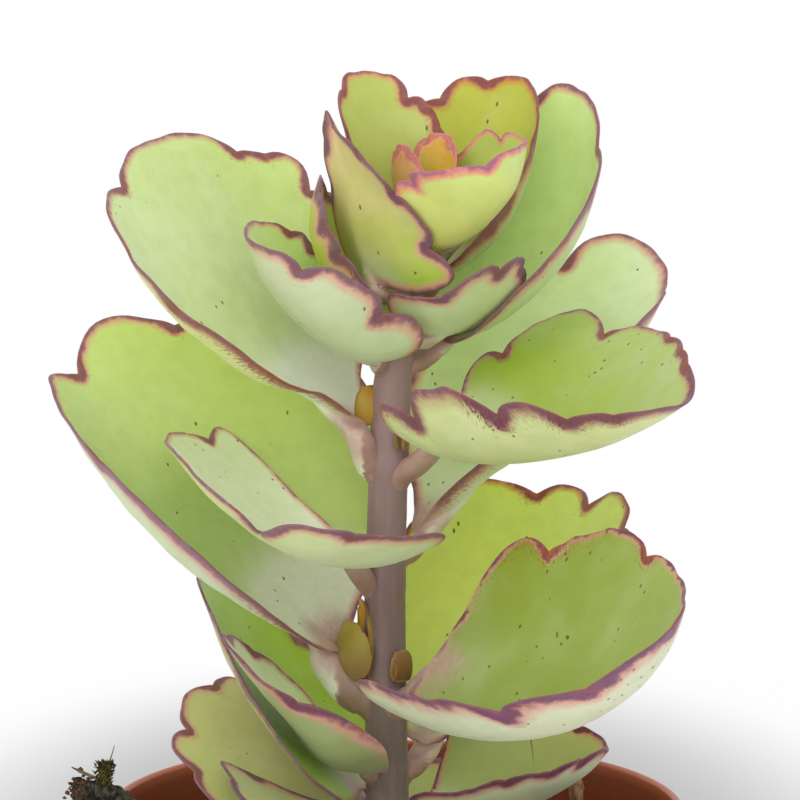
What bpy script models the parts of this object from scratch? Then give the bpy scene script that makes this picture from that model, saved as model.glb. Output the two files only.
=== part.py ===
# Potted kalanchoe: a young leafy succulent on one upright stem, standing in a plastic nursery pot.
# Driving dimensions are in millimetres and degrees. Azimuth 0 points to +X and 270 to the front, -Y.

import math

import bmesh
import bpy
from mathutils import Vector, noise

MM = 0.001
GAP = 0.3  # clearance kept between touching pieces
OBJECT_NAME = "potted_kalanchoe"

# Pot
POT_HEIGHT = 80.0
POT_RIM_RADIUS = 45.0
POT_BAND_HEIGHT = 13.0
POT_BAND_STEP = 2.2
POT_BASE_RADIUS = 31.5
POT_FOOT_RISE = 1.6
POT_WALL = 1.3
POT_FLOOR_LEVEL = 3.4
CENTRE_PAD_RADIUS = 12.0
DRAIN_COUNT = 6
DRAIN_RADIUS = 3.2
DRAIN_CIRCLE = 20.0
POT_STEPS = 48

# Soil
SOIL_LEVEL = 69.5
SOIL_RELIEF = 0.9
SOIL_RINGS = 5
SOIL_STEPS = 48
SOIL_CHORD = 0.1  # keeps the clearance where the turned steps differ

# Stem: height, sideways place and radius at each station, from the buried foot to the growing tip
STEM_STATIONS = [
    (46.0, -1.0, 3.0),
    (69.0, -1.0, 3.3),
    (80.0, -1.3, 3.3),
    (98.0, -1.6, 3.25),
    (116.0, -1.7, 3.1),
    (134.0, -1.1, 2.95),
    (146.0, -0.6, 2.9),
    (152.0, 0.1, 2.6),
    (158.0, 1.9, 2.1),
    (163.0, 3.4, 1.7),
    (168.0, 4.9, 1.2),
]
STEM_NODE_SWELL = 0.35
STEM_NODE_REACH = 1.6
ROSETTE_FOOT = 148.0
STEM_LEAN = 0.3  # sideways per upward millimetre inside the rosette

# Blades: outline and thickness shared by all leaves
BLADE_THICKNESS = 0.9
BLADE_RINGS = (0.45, 0.8, 1.0)
BLADE_ANGLE_STEP = 20
STEM_REACH = 3.2  # from the stem's axis to where a petiole is measured
SINUS_WIDTH = 22.0
EAR_ANGLE = 42.0
EAR_WIDTH = 20.0
NOTCH_DEPTH = 0.055
NOTCH_WIDTH = 4.0
NOTCH_HALF_ANGLE = 4.5
LIP_START = 0.45
ARC_STEPS = 8
PETIOLE_RADIUS = 1.7
SHORT_PETIOLE = 3.0
SMALL_BLADE_ANGLE_STEP = 36
SMALL_BLADE_RINGS = (0.55, 1.0)

# Leaves, in pairs numbered from the bottom. rise is the petiole's slope, lift the blade's slope at its foot and
# curl how far it bends up by its tip. cup and fold turn each half up, and roll tilts the blade about its midrib.
# notches are the angles of the margin's scallops, 0 at the tip and positive on the left half.
LEAVES = {
    "leaf_1_back_left": dict(
        azimuth=178, node=73.8, length=36.5, width=36.5, petiole=1.5, rise=17, lift=37, curl=-2,
        cup_left=0, cup_right=4, fold_left=1.25, fold_right=1.25, roll=-22, taper=0, lip=0.5, lip_at=77,
        egg=0.04, sinus=0.1, ear=0, tip=0.8, base=1.11, skew=-0.13, notches=[-62, -28, 8, 44, 82],
    ),
    "leaf_1_front_right": dict(
        azimuth=328, node=73.8, length=24, width=20, petiole=2.3, rise=5, lift=4, curl=10, cup_left=20,
        cup_right=20, fold_left=1.3, fold_right=1.3, roll=0, taper=0, lip=1.0, lip_at=0, egg=0,
        sinus=0.15, ear=0.05, tip=0.95, base=1, skew=0, notches=[-60, -20, 24, 66],
    ),
    "leaf_2_front_left": dict(
        azimuth=215, node=75.7, length=32.5, width=18.5, petiole=1.9, rise=18, lift=9, curl=40,
        cup_left=18, cup_right=17, fold_left=1.45, fold_right=1.2, roll=-24, taper=-0.05, lip=-1.3,
        lip_at=96, egg=0.02, sinus=0.17, ear=0.11, tip=0.87, base=0.87, skew=0.12, notches=[-50, 48],
    ),
    "leaf_2_back_right": dict(
        azimuth=48, node=75.7, length=28, width=21, petiole=2, rise=12, lift=10, curl=10, cup_left=25,
        cup_right=20, fold_left=1.3, fold_right=1.3, roll=0, taper=0, lip=1.0, lip_at=0, egg=0,
        sinus=0.15, ear=0.05, tip=0.95, base=1, skew=0, notches=[-64, -24, 20, 60],
    ),
    "leaf_3_back_left": dict(
        azimuth=165, node=79.7, length=47, width=39.5, petiole=2.6, rise=60, lift=45, curl=12, cup_left=0,
        cup_right=30, fold_left=1.35, fold_right=1.3, roll=2, taper=-0.02, lip=3, lip_at=76, egg=-0.26,
        sinus=0.19, ear=-0.01, tip=0.98, base=1.1, skew=0, notches=[-74, -40, 38, 78],
    ),
    "leaf_3_front_right": dict(
        azimuth=347, node=79.7, length=33.5, width=41, petiole=2.7, rise=12, lift=-12, curl=66,
        cup_left=114, cup_right=70, fold_left=0.9, fold_right=1.95, roll=-15, taper=-0.1, lip=-1.3,
        lip_at=-93, egg=0.04, sinus=0.05, ear=0.18, tip=1.05, base=0.83, skew=0.18,
        notches=[-78, -45, 36, 74],
    ),
    "leaf_4_front_left": dict(
        azimuth=212, node=85.5, length=37, width=25.5, petiole=4.4, rise=-1, lift=44, curl=9, cup_left=42,
        cup_right=39, fold_left=1.95, fold_right=1.15, roll=-20, taper=-0.18, lip=5.8, lip_at=137,
        egg=-0.15, sinus=0.25, ear=-0.1, tip=0.91, base=1.11, skew=0.07, notches=[-58, -24, 26, 64],
    ),
    "leaf_4_back_right": dict(
        azimuth=29, node=85.5, length=53, width=47, petiole=4.6, rise=54, lift=43, curl=5, cup_left=64,
        cup_right=2, fold_left=1.8, fold_right=1.3, roll=0, taper=0, lip=2.9, lip_at=-66, egg=0.29,
        sinus=0.09, ear=-0.05, tip=1, base=1.2, skew=0.2, notches=[-70, -34, 5, 28, 64],
    ),
    "leaf_5_back_left": dict(
        azimuth=174, node=97.2, length=63.5, width=59, petiole=8, rise=59, lift=47, curl=-4, cup_left=22,
        cup_right=48, fold_left=1.3, fold_right=0.9, roll=-27, taper=-0.35, lip=8.5, lip_at=90, egg=0.04,
        sinus=0.04, ear=-0.03, tip=0.98, base=1.25, skew=-0.2, notches=[-74, -39, -6, 28, 57],
    ),
    "leaf_5_front_right": dict(
        azimuth=317, node=97.2, length=58, width=50.5, petiole=7.6, rise=41, lift=-12, curl=55,
        cup_left=16, cup_right=93, fold_left=1.15, fold_right=0.9, roll=48, taper=-0.35, lip=7,
        lip_at=-62, egg=-0.02, sinus=0.03, ear=0.22, tip=1.05, base=0.99, skew=0.08,
        notches=[-150, -110, -74, 8, 49, 119],
    ),
    "leaf_6_front_left": dict(
        azimuth=229, node=115.9, length=40.5, width=45.5, petiole=9.4, rise=42, lift=5, curl=43,
        cup_left=64, cup_right=6, fold_left=0.95, fold_right=2.05, roll=-29, taper=-0.21, lip=2.4,
        lip_at=134, egg=-0.24, sinus=0.08, ear=0.22, tip=1.05, base=0.75, skew=-0.14,
        notches=[-112, -60, -24, 20, 52],
    ),
    "leaf_6_back_right": dict(
        azimuth=31, node=119.7, length=65, width=42.5, petiole=3.5, rise=25, lift=42, curl=3, cup_left=51,
        cup_right=14, fold_left=0.9, fold_right=0.95, roll=-1, taper=0.34, lip=5.1, lip_at=-102, egg=0.19,
        sinus=0.09, ear=-0.1, tip=0.8, base=1.25, skew=0.19, notches=[-66, -30, 12, 44],
    ),
    "leaf_7_back_left": dict(
        azimuth=172, node=134.3, length=57.5, width=56, petiole=5.3, rise=48, lift=52, curl=0.5,
        cup_left=3, cup_right=43, fold_left=1.2, fold_right=2.15, roll=-19, taper=-0.35, lip=6.4,
        lip_at=117, egg=0.29, sinus=0.08, ear=-0.09, tip=1.05, base=1.09, skew=-0.04,
        notches=[-72, -34, 21, 51, 81],
    ),
    "leaf_7_front_right": dict(
        azimuth=332, node=133.4, length=51, width=49, petiole=9.6, rise=39, lift=-4, curl=45, cup_left=0,
        cup_right=92, fold_left=1, fold_right=0.9, roll=37, taper=-0.13, lip=7.1, lip_at=-110, egg=-0.23,
        sinus=0.33, ear=-0.09, tip=0.8, base=0.75, skew=0.05, notches=[-134, -86, -42, 28, 83, 141],
    ),
    "leaf_8_front_left": dict(
        azimuth=206, node=149.9, length=34, width=34, petiole=1.2, rise=38, lift=19, curl=59,
        cup_left=104, cup_right=50, fold_left=0.95, fold_right=2.15, roll=-26, taper=-0.23, lip=2.6,
        lip_at=137, egg=0.19, sinus=0.22, ear=0.21, tip=0.88, base=0.76, skew=-0.07,
        notches=[-119, -78, -30, 40, 112],
    ),
    "leaf_8_back_right": dict(
        azimuth=34, node=149.9, length=51, width=40.5, petiole=4.8, rise=37, lift=25, curl=64,
        cup_left=41, cup_right=45, fold_left=1.3, fold_right=1, roll=15, taper=-0.35, lip=4.5, lip_at=-77,
        egg=-0.18, sinus=0.09, ear=0.06, tip=0.91, base=1.05, skew=0.04, notches=[-72, -45, 20, 62],
    ),
    "leaf_9_back_left": dict(
        azimuth=164, node=154.1, length=28.5, width=25, petiole=1.8, rise=73, lift=34, curl=70,
        cup_left=35, cup_right=53, fold_left=1.3, fold_right=1.4, roll=5, taper=-0.35, lip=2.4, lip_at=66,
        egg=-0.23, sinus=0.2, ear=0.13, tip=0.9, base=0.96, skew=0.05, notches=[-80, -36, 24, 60, 87],
    ),
    "leaf_9_front_right": dict(
        azimuth=326, node=154.1, length=25, width=18.5, petiole=1.4, rise=16, lift=10, curl=70,
        cup_left=40, cup_right=47, fold_left=1.7, fold_right=0.95, roll=-8, taper=-0.34, lip=-0.8,
        lip_at=-71, egg=-0.27, sinus=0.2, ear=0.21, tip=0.81, base=0.75, skew=-0.07,
        notches=[-90, -26, 34, 80],
    ),
    "leaf_10_front_left": dict(
        azimuth=213, node=160.8, length=29.5, width=26, petiole=3.5, rise=33, lift=62, curl=27,
        cup_left=42, cup_right=0, fold_left=0.95, fold_right=1.35, roll=-11, taper=-0.26, lip=-1.5,
        lip_at=42, egg=-0.16, sinus=0.24, ear=0.16, tip=1.05, base=0.76, skew=0.17,
        notches=[-72, -34, 38, 75, 119],
    ),
    "leaf_10_back_right": dict(
        azimuth=47, node=160.8, length=42, width=32.5, petiole=0.7, rise=42, lift=41, curl=39,
        cup_left=33, cup_right=20, fold_left=1.2, fold_right=1.25, roll=7, taper=-0.25, lip=7.8,
        lip_at=-96, egg=0.01, sinus=0.24, ear=-0.08, tip=0.86, base=1.02, skew=0.2,
        notches=[-106, -52, 9, 37, 76],
    ),
    "leaf_11_back_left": dict(
        azimuth=161, node=165.5, length=31, width=24, petiole=2.9, rise=81, lift=70, curl=7, cup_left=44,
        cup_right=54, fold_left=1.25, fold_right=1.15, roll=-18, taper=-0.16, lip=2.9, lip_at=125,
        egg=0.01, sinus=0.22, ear=0.1, tip=0.93, base=1, skew=-0.12, notches=[-58, -30, 26, 66],
    ),
    "leaf_11_front_right": dict(
        azimuth=321, node=165.9, length=25, width=30.5, petiole=4, rise=74, lift=19, curl=53, cup_left=52,
        cup_right=113, fold_left=0.95, fold_right=1.1, roll=36, taper=-0.35, lip=4.8, lip_at=-71,
        egg=0.13, sinus=0.2, ear=0.21, tip=1.05, base=0.86, skew=0.01, notches=[-84, -30, 48, 132],
    ),
}
SMALL_LEAF = dict(
    curl=10, cup_left=55, cup_right=55, fold_left=1.2, fold_right=1.2, roll=0, taper=0, lip=0.01, lip_at=0,
    egg=-0.1, sinus=0.1, ear=0.05, tip=0.95, base=0.95, skew=0, notches=[],
)

# Growing tip: tiny leaves round a core on the stem's top. foot is where a leaf's petiole starts.
TIP_CORE = dict(foot=(5.0, 0.0, 168.4), radius=1.5, height=5.0)
TIP_LEAVES = [
    dict(SMALL_LEAF, azimuth=40, foot=(5.6, 0.5, 170), petiole=2.5, rise=76, lift=80, length=15, width=8.5),
    dict(SMALL_LEAF, azimuth=225, foot=(4.4, -0.5, 170), petiole=3, rise=62, lift=72, length=12.5, width=6.5),
    dict(SMALL_LEAF, azimuth=130, foot=(4.8, 0.6, 171), petiole=1.5, rise=80, lift=84, length=6, width=3.6),
    dict(SMALL_LEAF, azimuth=310, foot=(5.2, -0.6, 171), petiole=1.5, rise=80, lift=84, length=6, width=3.6),
]

# Buds: young shoots in the leaf axils, each two small leaves round a core
BUDS = {
    "bud_5_back_left": dict(foot=(-6.8, -0.2, 105.4), lean=165, size=7.5),
    "bud_5_front_right": dict(foot=(0.5, -4.3, 101.2), lean=300, size=5.0),
    "bud_7_back_left": dict(foot=(-5.3, 0.4, 141.2), lean=170, size=6.0),
    "bud_7_front_right": dict(foot=(0.8, -4.0, 137.0), lean=310, size=3.6),
}
BUD_CORE_SHARE = 0.2
BUD_GIRTH_SHARE = 0.45

# Twig with a mossy head, lying from the soil over the pot's rim, and the dry stub
TWIG_PATH = [
    (-22.0, -3.0, 63.0),
    (-33.0, -5.0, 73.3),
    (-42.6, -6.8, 82.4),
    (-46.2, -7.4, 83.8),
    (-49.6, -8.0, 84.4),
]
TWIG_RADII = [1.5, 1.9, 1.9, 2.3, 1.4]
MOSS_FOOT = (-45.2, -7.2, 86.8)
MOSS_SHOOTS = [  # along the twig, across it, and height
    (-1.4, 0.2, 4.2),
    (-0.5, -0.5, 5.2),
    (0.3, 0.4, 6.0),
    (1.1, -0.3, 4.6),
    (1.9, 0.3, 5.6),
    (2.6, 0.0, 3.6),
]
MOSS_SHOOT_RADIUS = 0.65
STUB_PATH = [(28.8, 17.5, 63.0), (28.8, 17.5, 72.0), (28.9, 17.4, 79.0)]
STUB_RADIUS = 1.2


def stem_at(height):
    # Sideways place and radius of the stem's axis at a height, in millimetres.
    for (z0, x0, r0), (z1, x1, r1) in zip(STEM_STATIONS, STEM_STATIONS[1:]):
        if height <= z1:
            part = max(0.0, (height - z0) / (z1 - z0))
            return x0 + part * (x1 - x0), r0 + part * (r1 - r0)
    return STEM_STATIONS[-1][1:]


def petiole_foot(leaf):
    if "foot" in leaf:
        return Vector(leaf["foot"])
    azimuth = math.radians(leaf["azimuth"])
    stem_x, _ = stem_at(leaf["node"])
    ahead = Vector((math.cos(azimuth), math.sin(azimuth), 0.0))
    return Vector((stem_x, 0.0, leaf["node"])) + STEM_REACH * ahead


def wrap(angle):
    return (angle + 180.0) % 360.0 - 180.0


def edge_point(leaf, angle):
    # The blade's flat outline: 0 is the tip, 180 the sinus over the petiole, positive angles the left half.
    angle = wrap(angle)
    gap = 180.0 - abs(angle)
    radius = 1.0 - leaf["sinus"] * math.exp(-((gap / SINUS_WIDTH) ** 2))
    radius += leaf["ear"] * math.exp(-(((gap - EAR_ANGLE) / EAR_WIDTH) ** 2))
    for notch in leaf["notches"]:
        radius -= NOTCH_DEPTH * math.exp(-((wrap(angle - notch) / NOTCH_WIDTH) ** 2))
    forward, side = math.cos(math.radians(angle)), math.sin(math.radians(angle))
    fullness = leaf["tip"] if forward > 0 else leaf["base"]
    half = math.copysign(abs(side) ** fullness, side)
    along = leaf["length"] / 2 * radius * forward
    across = leaf["width"] / 2 * radius * half * (1 + leaf["egg"] * forward)
    across *= 1 + leaf["skew"] * math.copysign(1.0, side)
    return along + leaf["length"] / 2 * (1 - leaf["sinus"]), across


def blade_point(leaf, angle, reach):
    # A point of the blade's middle surface, at a share of the way from its centre to its edge.
    centre = leaf["length"] / 2 * (1 - leaf["sinus"])
    along, across = edge_point(leaf, angle)
    along, across = centre + reach * (along - centre), reach * across
    azimuth = math.radians(leaf["azimuth"])
    ahead = Vector((math.cos(azimuth), math.sin(azimuth), 0.0))
    left = Vector((-math.sin(azimuth), math.cos(azimuth), 0.0))
    up = Vector((0.0, 0.0, 1.0))
    rise, lift, curl = (math.radians(leaf[key]) for key in ("rise", "lift", "curl"))
    foot = petiole_foot(leaf) + leaf["petiole"] * (math.cos(rise) * ahead + math.sin(rise) * up)
    bend = curl / leaf["length"]
    slope = lift + bend * along
    midrib = foot + (math.sin(slope) - math.sin(lift)) / bend * ahead
    midrib += (math.cos(lift) - math.cos(slope)) / bend * up
    normal = math.cos(slope) * up - math.sin(slope) * ahead
    roll = math.radians(leaf["roll"])
    sideways = math.cos(roll) * left + math.sin(roll) * normal
    upward = math.cos(roll) * normal - math.sin(roll) * left
    half = "left" if across > 0 else "right"
    cup, fold = leaf["cup_" + half], leaf["fold_" + half]
    share = min(1.1, max(-0.2, along / leaf["length"]))
    cup = math.radians(cup) * (1 + leaf["taper"] * (2 * share - 1))
    out = abs(across) / (leaf["width"] / 2)
    flat = rise_up = 0.0
    for step in range(ARC_STEPS):
        turn = cup * (out * (step + 0.5) / ARC_STEPS) ** fold
        flat += math.cos(turn) / ARC_STEPS
        rise_up += math.sin(turn) / ARC_STEPS
    facing = max(0.0, math.cos(math.radians(angle - leaf["lip_at"])))
    lip = leaf["lip"] * facing * max(0.0, (reach - LIP_START) / (1 - LIP_START)) ** 2
    point = midrib + math.copysign(flat * abs(across), across) * sideways
    return point + (rise_up * abs(across) + lip) * upward


def remove_all():
    for scene_object in list(bpy.data.objects):
        bpy.data.objects.remove(scene_object, do_unlink=True)


def collection_named(name):
    collection = bpy.data.collections.new(name)
    bpy.context.scene.collection.children.link(collection)
    return collection


def material_named(name, colour, roughness):
    material = bpy.data.materials.new(name)
    material.use_nodes = True
    shader = material.node_tree.nodes["Principled BSDF"]
    shader.inputs["Base Color"].default_value = (*colour, 1.0)
    shader.inputs["Roughness"].default_value = roughness
    shader.inputs["Metallic"].default_value = 0.0
    return material


def add_object(name, mesh, collection, material=None):
    made = bpy.data.objects.new(name, mesh)
    collection.objects.link(made)
    if material:
        mesh.materials.append(material)
    return made


def mesh_from(shape, name):
    mesh = bpy.data.meshes.new(name)
    shape.to_mesh(mesh)
    shape.free()
    return mesh


def applied(made):
    # The object keeps its name and material, and its modifiers become its mesh.
    bpy.context.view_layer.update()
    graph = bpy.context.evaluated_depsgraph_get()
    mesh = bpy.data.meshes.new_from_object(made.evaluated_get(graph))
    materials = [slot.material for slot in made.material_slots]
    made.modifiers.clear()
    made.data = mesh
    mesh.materials.clear()
    for material in materials:
        mesh.materials.append(material)
    return made


def joined(made, others, operation="UNION", solver="EXACT"):
    # A Boolean with each other solid in turn; the others are then removed.
    for other in others:
        modifier = made.modifiers.new(operation.title(), "BOOLEAN")
        modifier.operation = operation
        modifier.solver = solver
        modifier.object = other
        applied(made)
        bpy.data.objects.remove(other, do_unlink=True)
    return made


def tube(name, points, radii, collection, material=None, rounding=2):
    # A closed tube through points, with a radius at each: both in millimetres.
    curve = bpy.data.curves.new(name, "CURVE")
    curve.dimensions = "3D"
    curve.bevel_depth = MM
    curve.bevel_resolution = rounding
    curve.use_fill_caps = True
    spline = curve.splines.new("POLY")
    spline.points.add(len(points) - 1)
    for spot, point, radius in zip(spline.points, points, radii):
        spot.co = (*(MM * Vector(point)), 1.0)
        spot.radius = radius
    guide = bpy.data.objects.new(name + "_path", curve)
    collection.objects.link(guide)
    bpy.context.view_layer.update()
    graph = bpy.context.evaluated_depsgraph_get()
    mesh = bpy.data.meshes.new_from_object(guide.evaluated_get(graph))
    bpy.data.objects.remove(guide, do_unlink=True)
    shape = bmesh.new()
    shape.from_mesh(mesh)
    bmesh.ops.remove_doubles(shape, verts=shape.verts, dist=1e-6)
    shape.to_mesh(mesh)
    shape.free()
    return add_object(name, mesh, collection, material)


def turned(name, profile, steps, collection, material):
    # A profile of (radius, height) pairs, turned about the Z axis.
    shape = bmesh.new()
    corners = [shape.verts.new((MM * radius, 0.0, MM * height)) for radius, height in profile]
    for first, second in zip(corners, corners[1:]):
        shape.edges.new((first, second))
    made = add_object(name, mesh_from(shape, name), collection, material)
    screw = made.modifiers.new("Turn", "SCREW")
    screw.steps = steps
    screw.render_steps = steps
    screw.use_merge_vertices = True
    screw.merge_threshold = 0.00005
    screw.use_smooth_shade = True
    return made


def make_pot(collection, cutters, material):
    band_foot = POT_HEIGHT - POT_BAND_HEIGHT
    side_top = POT_RIM_RADIUS - POT_BAND_STEP
    lip = POT_WALL / 2
    inside_band = POT_RIM_RADIUS - POT_WALL
    inside_top = side_top - POT_WALL
    inside_foot = POT_BASE_RADIUS - POT_WALL
    foot_ring = POT_BASE_RADIUS - 4.0
    profile = [
        (0.0, POT_FLOOR_LEVEL),
        (inside_foot - 1.0, POT_FLOOR_LEVEL),
        (inside_foot, POT_FLOOR_LEVEL + 1.0),
        (inside_top, band_foot - 0.4),
        (inside_band - 0.7, band_foot + 1.2),
        (inside_band, POT_HEIGHT - lip),
        (inside_band + lip * 0.3, POT_HEIGHT - lip * 0.3),
        (inside_band + lip, POT_HEIGHT),
        (POT_RIM_RADIUS - lip * 0.3, POT_HEIGHT - lip * 0.3),
        (POT_RIM_RADIUS, POT_HEIGHT - lip),
        (POT_RIM_RADIUS - 0.7, band_foot + 1.0),
        (POT_RIM_RADIUS - 1.0, band_foot),
        (side_top, band_foot - 0.8),
        (POT_BASE_RADIUS + 0.4, 1.0),
        (POT_BASE_RADIUS - 0.5, 0.0),
        (foot_ring + 0.5, 0.0),
        (foot_ring, POT_FOOT_RISE),
        (CENTRE_PAD_RADIUS + 0.5, POT_FOOT_RISE),
        (CENTRE_PAD_RADIUS, 0.0),
        (0.0, 0.0),
    ]
    pot = turned("pot", profile, POT_STEPS, collection, material)
    for count in range(DRAIN_COUNT):
        azimuth = 2 * math.pi * (count + 0.5) / DRAIN_COUNT
        shape = bmesh.new()
        bmesh.ops.create_cone(
            shape, cap_ends=True, segments=14, depth=MM * 3 * POT_FLOOR_LEVEL,
            radius1=MM * DRAIN_RADIUS, radius2=MM * DRAIN_RADIUS,
        )
        drill = add_object(f"drain_{count + 1}", mesh_from(shape, "drain"), cutters)
        drill.location.x = MM * DRAIN_CIRCLE * math.cos(azimuth)
        drill.location.y = MM * DRAIN_CIRCLE * math.sin(azimuth)
        drill.location.z = MM * POT_FLOOR_LEVEL / 2
        joined(pot, [drill], "DIFFERENCE")
    return pot


def inside_radius(height):
    # The pot's inner wall, below the step of its rim band.
    low, high = POT_FLOOR_LEVEL + 1.0, POT_HEIGHT - POT_BAND_HEIGHT - 0.4
    foot, top = POT_BASE_RADIUS - POT_WALL, POT_RIM_RADIUS - POT_BAND_STEP - POT_WALL
    return foot + (height - low) / (high - low) * (top - foot)


def make_soil(collection, cutters, material):
    edge_level = SOIL_LEVEL - 3.0
    low = POT_FLOOR_LEVEL + GAP
    edge = inside_radius(edge_level) - GAP - SOIL_CHORD
    profile = [(0.0, SOIL_LEVEL)]
    profile += [(edge * ring / SOIL_RINGS, SOIL_LEVEL) for ring in range(1, SOIL_RINGS)]
    profile += [(edge - 1.0, SOIL_LEVEL - 0.5), (edge, edge_level)]
    foot_edge = inside_radius(low + 1.2)
    profile += [(foot_edge - GAP - 0.2, low + 1.2), (foot_edge - 1.5, low), (0.0, low)]
    soil = turned("soil", profile, SOIL_STEPS, collection, material)
    applied(soil)
    for spot in soil.data.vertices:
        share = math.hypot(spot.co.x, spot.co.y) / (MM * edge)
        if spot.co.z > MM * (edge_level + 1.0) and share < 0.9:
            lumps = noise.noise(spot.co / (MM * 7.0)) + 0.5 * noise.noise(spot.co / (MM * 3.0))
            spot.co.z += MM * SOIL_RELIEF * lumps
    stem_path = [(side, 0.0, height) for height, side, _ in STEM_STATIONS[:3]]
    stem_radii = [radius for _, _, radius in STEM_STATIONS[:3]]
    holes = [
        plain_hole("stem_hole", stem_path, stem_radii, cutters, 4),
        plain_hole("stub_hole", STUB_PATH, [STUB_RADIUS] * len(STUB_PATH), cutters, 2),
        plain_hole("twig_hole", TWIG_PATH[:3], TWIG_RADII[:3], cutters, 2),
    ]
    return joined(soil, holes, "DIFFERENCE")


def plain_hole(name, path, radii, cutters, rounding):
    # The hole that a piece stands in: its own path, a little longer at the foot and wider all round.
    foot, after = Vector(path[0]), Vector(path[1])
    path = [foot - 1.2 * GAP * (after - foot).normalized()] + [Vector(point) for point in path[1:]]
    return tube(name, path, [radius + 1.2 * GAP for radius in radii], cutters, rounding=rounding)


def make_stem(collection, material):
    nodes = sorted({leaf["node"] for leaf in LEAVES.values()})
    heights = {height for height, _, _ in STEM_STATIONS}
    for node in nodes:
        heights |= {node - STEM_NODE_REACH, node, node + STEM_NODE_REACH}
    points, radii = [], []
    for height in sorted(heights):
        side, radius = stem_at(height)
        nearest = min(abs(height - node) for node in nodes)
        radii.append(radius + (STEM_NODE_SWELL if nearest < 0.1 and height < ROSETTE_FOOT else 0.0))
        points.append((side, 0.0, height))
    return tube("stem", points, radii, collection, material, rounding=4)


def blade(name, leaf, collection, material, thickness, rings, step):
    angles = set(range(-180, 180, step))
    for notch in leaf["notches"]:
        angles = {angle for angle in angles if abs(wrap(angle - notch)) > 1.5 * NOTCH_HALF_ANGLE}
        angles |= {wrap(notch - NOTCH_HALF_ANGLE), float(notch), wrap(notch + NOTCH_HALF_ANGLE)}
    angles = sorted(angles)
    shape = bmesh.new()
    inner = [shape.verts.new(MM * blade_point(leaf, 0.0, 0.0))] * len(angles)
    for reach in rings:
        outer = [shape.verts.new(MM * blade_point(leaf, angle, reach)) for angle in angles]
        for here in range(len(angles)):
            after = (here + 1) % len(angles)
            corners = [inner[here], outer[here], outer[after], inner[after]]
            shape.faces.new(corners[:3] if reach == rings[0] else corners)
        inner = outer
    bmesh.ops.triangulate(shape, faces=shape.faces, quad_method="SHORT_EDGE")
    made = add_object(name, mesh_from(shape, name), collection, material)
    solidify = made.modifiers.new("Thickness", "SOLIDIFY")
    solidify.thickness = MM * thickness
    solidify.offset = 0.0
    solidify.use_even_offset = True
    return applied(made)


def make_petiole(name, leaf, cutters):
    # From the stem's side out and up to the sinus, then along under the blade as its midrib.
    girth = PETIOLE_RADIUS * (0.55 + 0.45 * leaf["width"] / 45.0)
    stem_x, stem_radius = stem_at(leaf["node"])
    azimuth = math.radians(leaf["azimuth"])
    ahead = Vector((math.cos(azimuth), math.sin(azimuth), 0.0))
    lean = STEM_LEAN if leaf["node"] > ROSETTE_FOOT else 0.0
    start = Vector((stem_x, 0.0, leaf["node"])) + (stem_radius + STEM_NODE_SWELL + GAP + lean * girth) * ahead
    sinus = blade_point(leaf, 180.0, 1.0)
    reach = (sinus - start).length
    down = Vector((0.0, 0.0, -0.45 * BLADE_THICKNESS))
    near, far = blade_point(leaf, 180.0, 0.75) + 0.8 * down, blade_point(leaf, 180.0, 0.4) + 0.3 * down
    if reach < SHORT_PETIOLE:
        start += girth * (near - sinus).normalized().z * ahead
        start.z = sinus.z + down.z
        return tube(name, [start, near, far], [0.9 * girth, 0.6 * girth, 0.2 * girth], cutters)
    out = start + min(1.0, 0.35 * reach) * ahead
    middle = (out + sinus) / 2 + Vector((0.0, 0.0, -0.08 * reach))
    near, far = blade_point(leaf, 180.0, 0.75), blade_point(leaf, 180.0, 0.4)
    radii = [girth * part for part in (1.1, 1.0, 0.9, 0.75, 0.5, 0.2)]
    return tube(name, [start, out, middle, sinus + down, near, far], radii, cutters)


def make_leaf(name, leaf, collection, cutters, material):
    made = blade(name, leaf, collection, material, BLADE_THICKNESS, BLADE_RINGS, BLADE_ANGLE_STEP)
    return joined(made, [make_petiole(name + "_petiole", leaf, cutters)])


def lump(name, foot, radius, height, collection):
    # A rounded core: an icosphere stretched to a height, standing on its foot.
    shape = bmesh.new()
    bmesh.ops.create_icosphere(shape, subdivisions=1, radius=MM * radius)
    bmesh.ops.scale(shape, vec=(1.0, 1.0, height / (2 * radius)), verts=shape.verts)
    bmesh.ops.translate(shape, vec=MM * (Vector(foot) + Vector((0.0, 0.0, height / 2))), verts=shape.verts)
    return add_object(name, mesh_from(shape, name), collection)


def make_tip(collection, cutters, material):
    made = lump("growing_tip", TIP_CORE["foot"], TIP_CORE["radius"], TIP_CORE["height"], collection)
    made.data.materials.append(material)
    small, stalks = [], []
    for count, leaf in enumerate(TIP_LEAVES):
        name = f"tip_leaf_{count + 1}"
        small.append(blade(name, leaf, cutters, None, 0.8, SMALL_BLADE_RINGS, SMALL_BLADE_ANGLE_STEP))
        path = [Vector(leaf["foot"]), blade_point(leaf, 180.0, 1.0), blade_point(leaf, 180.0, 0.5)]
        stalks.append(tube(f"tip_stalk_{count + 1}", path, [0.9, 0.7, 0.4], cutters))
    return joined(made, stalks + small, solver="MANIFOLD")


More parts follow.
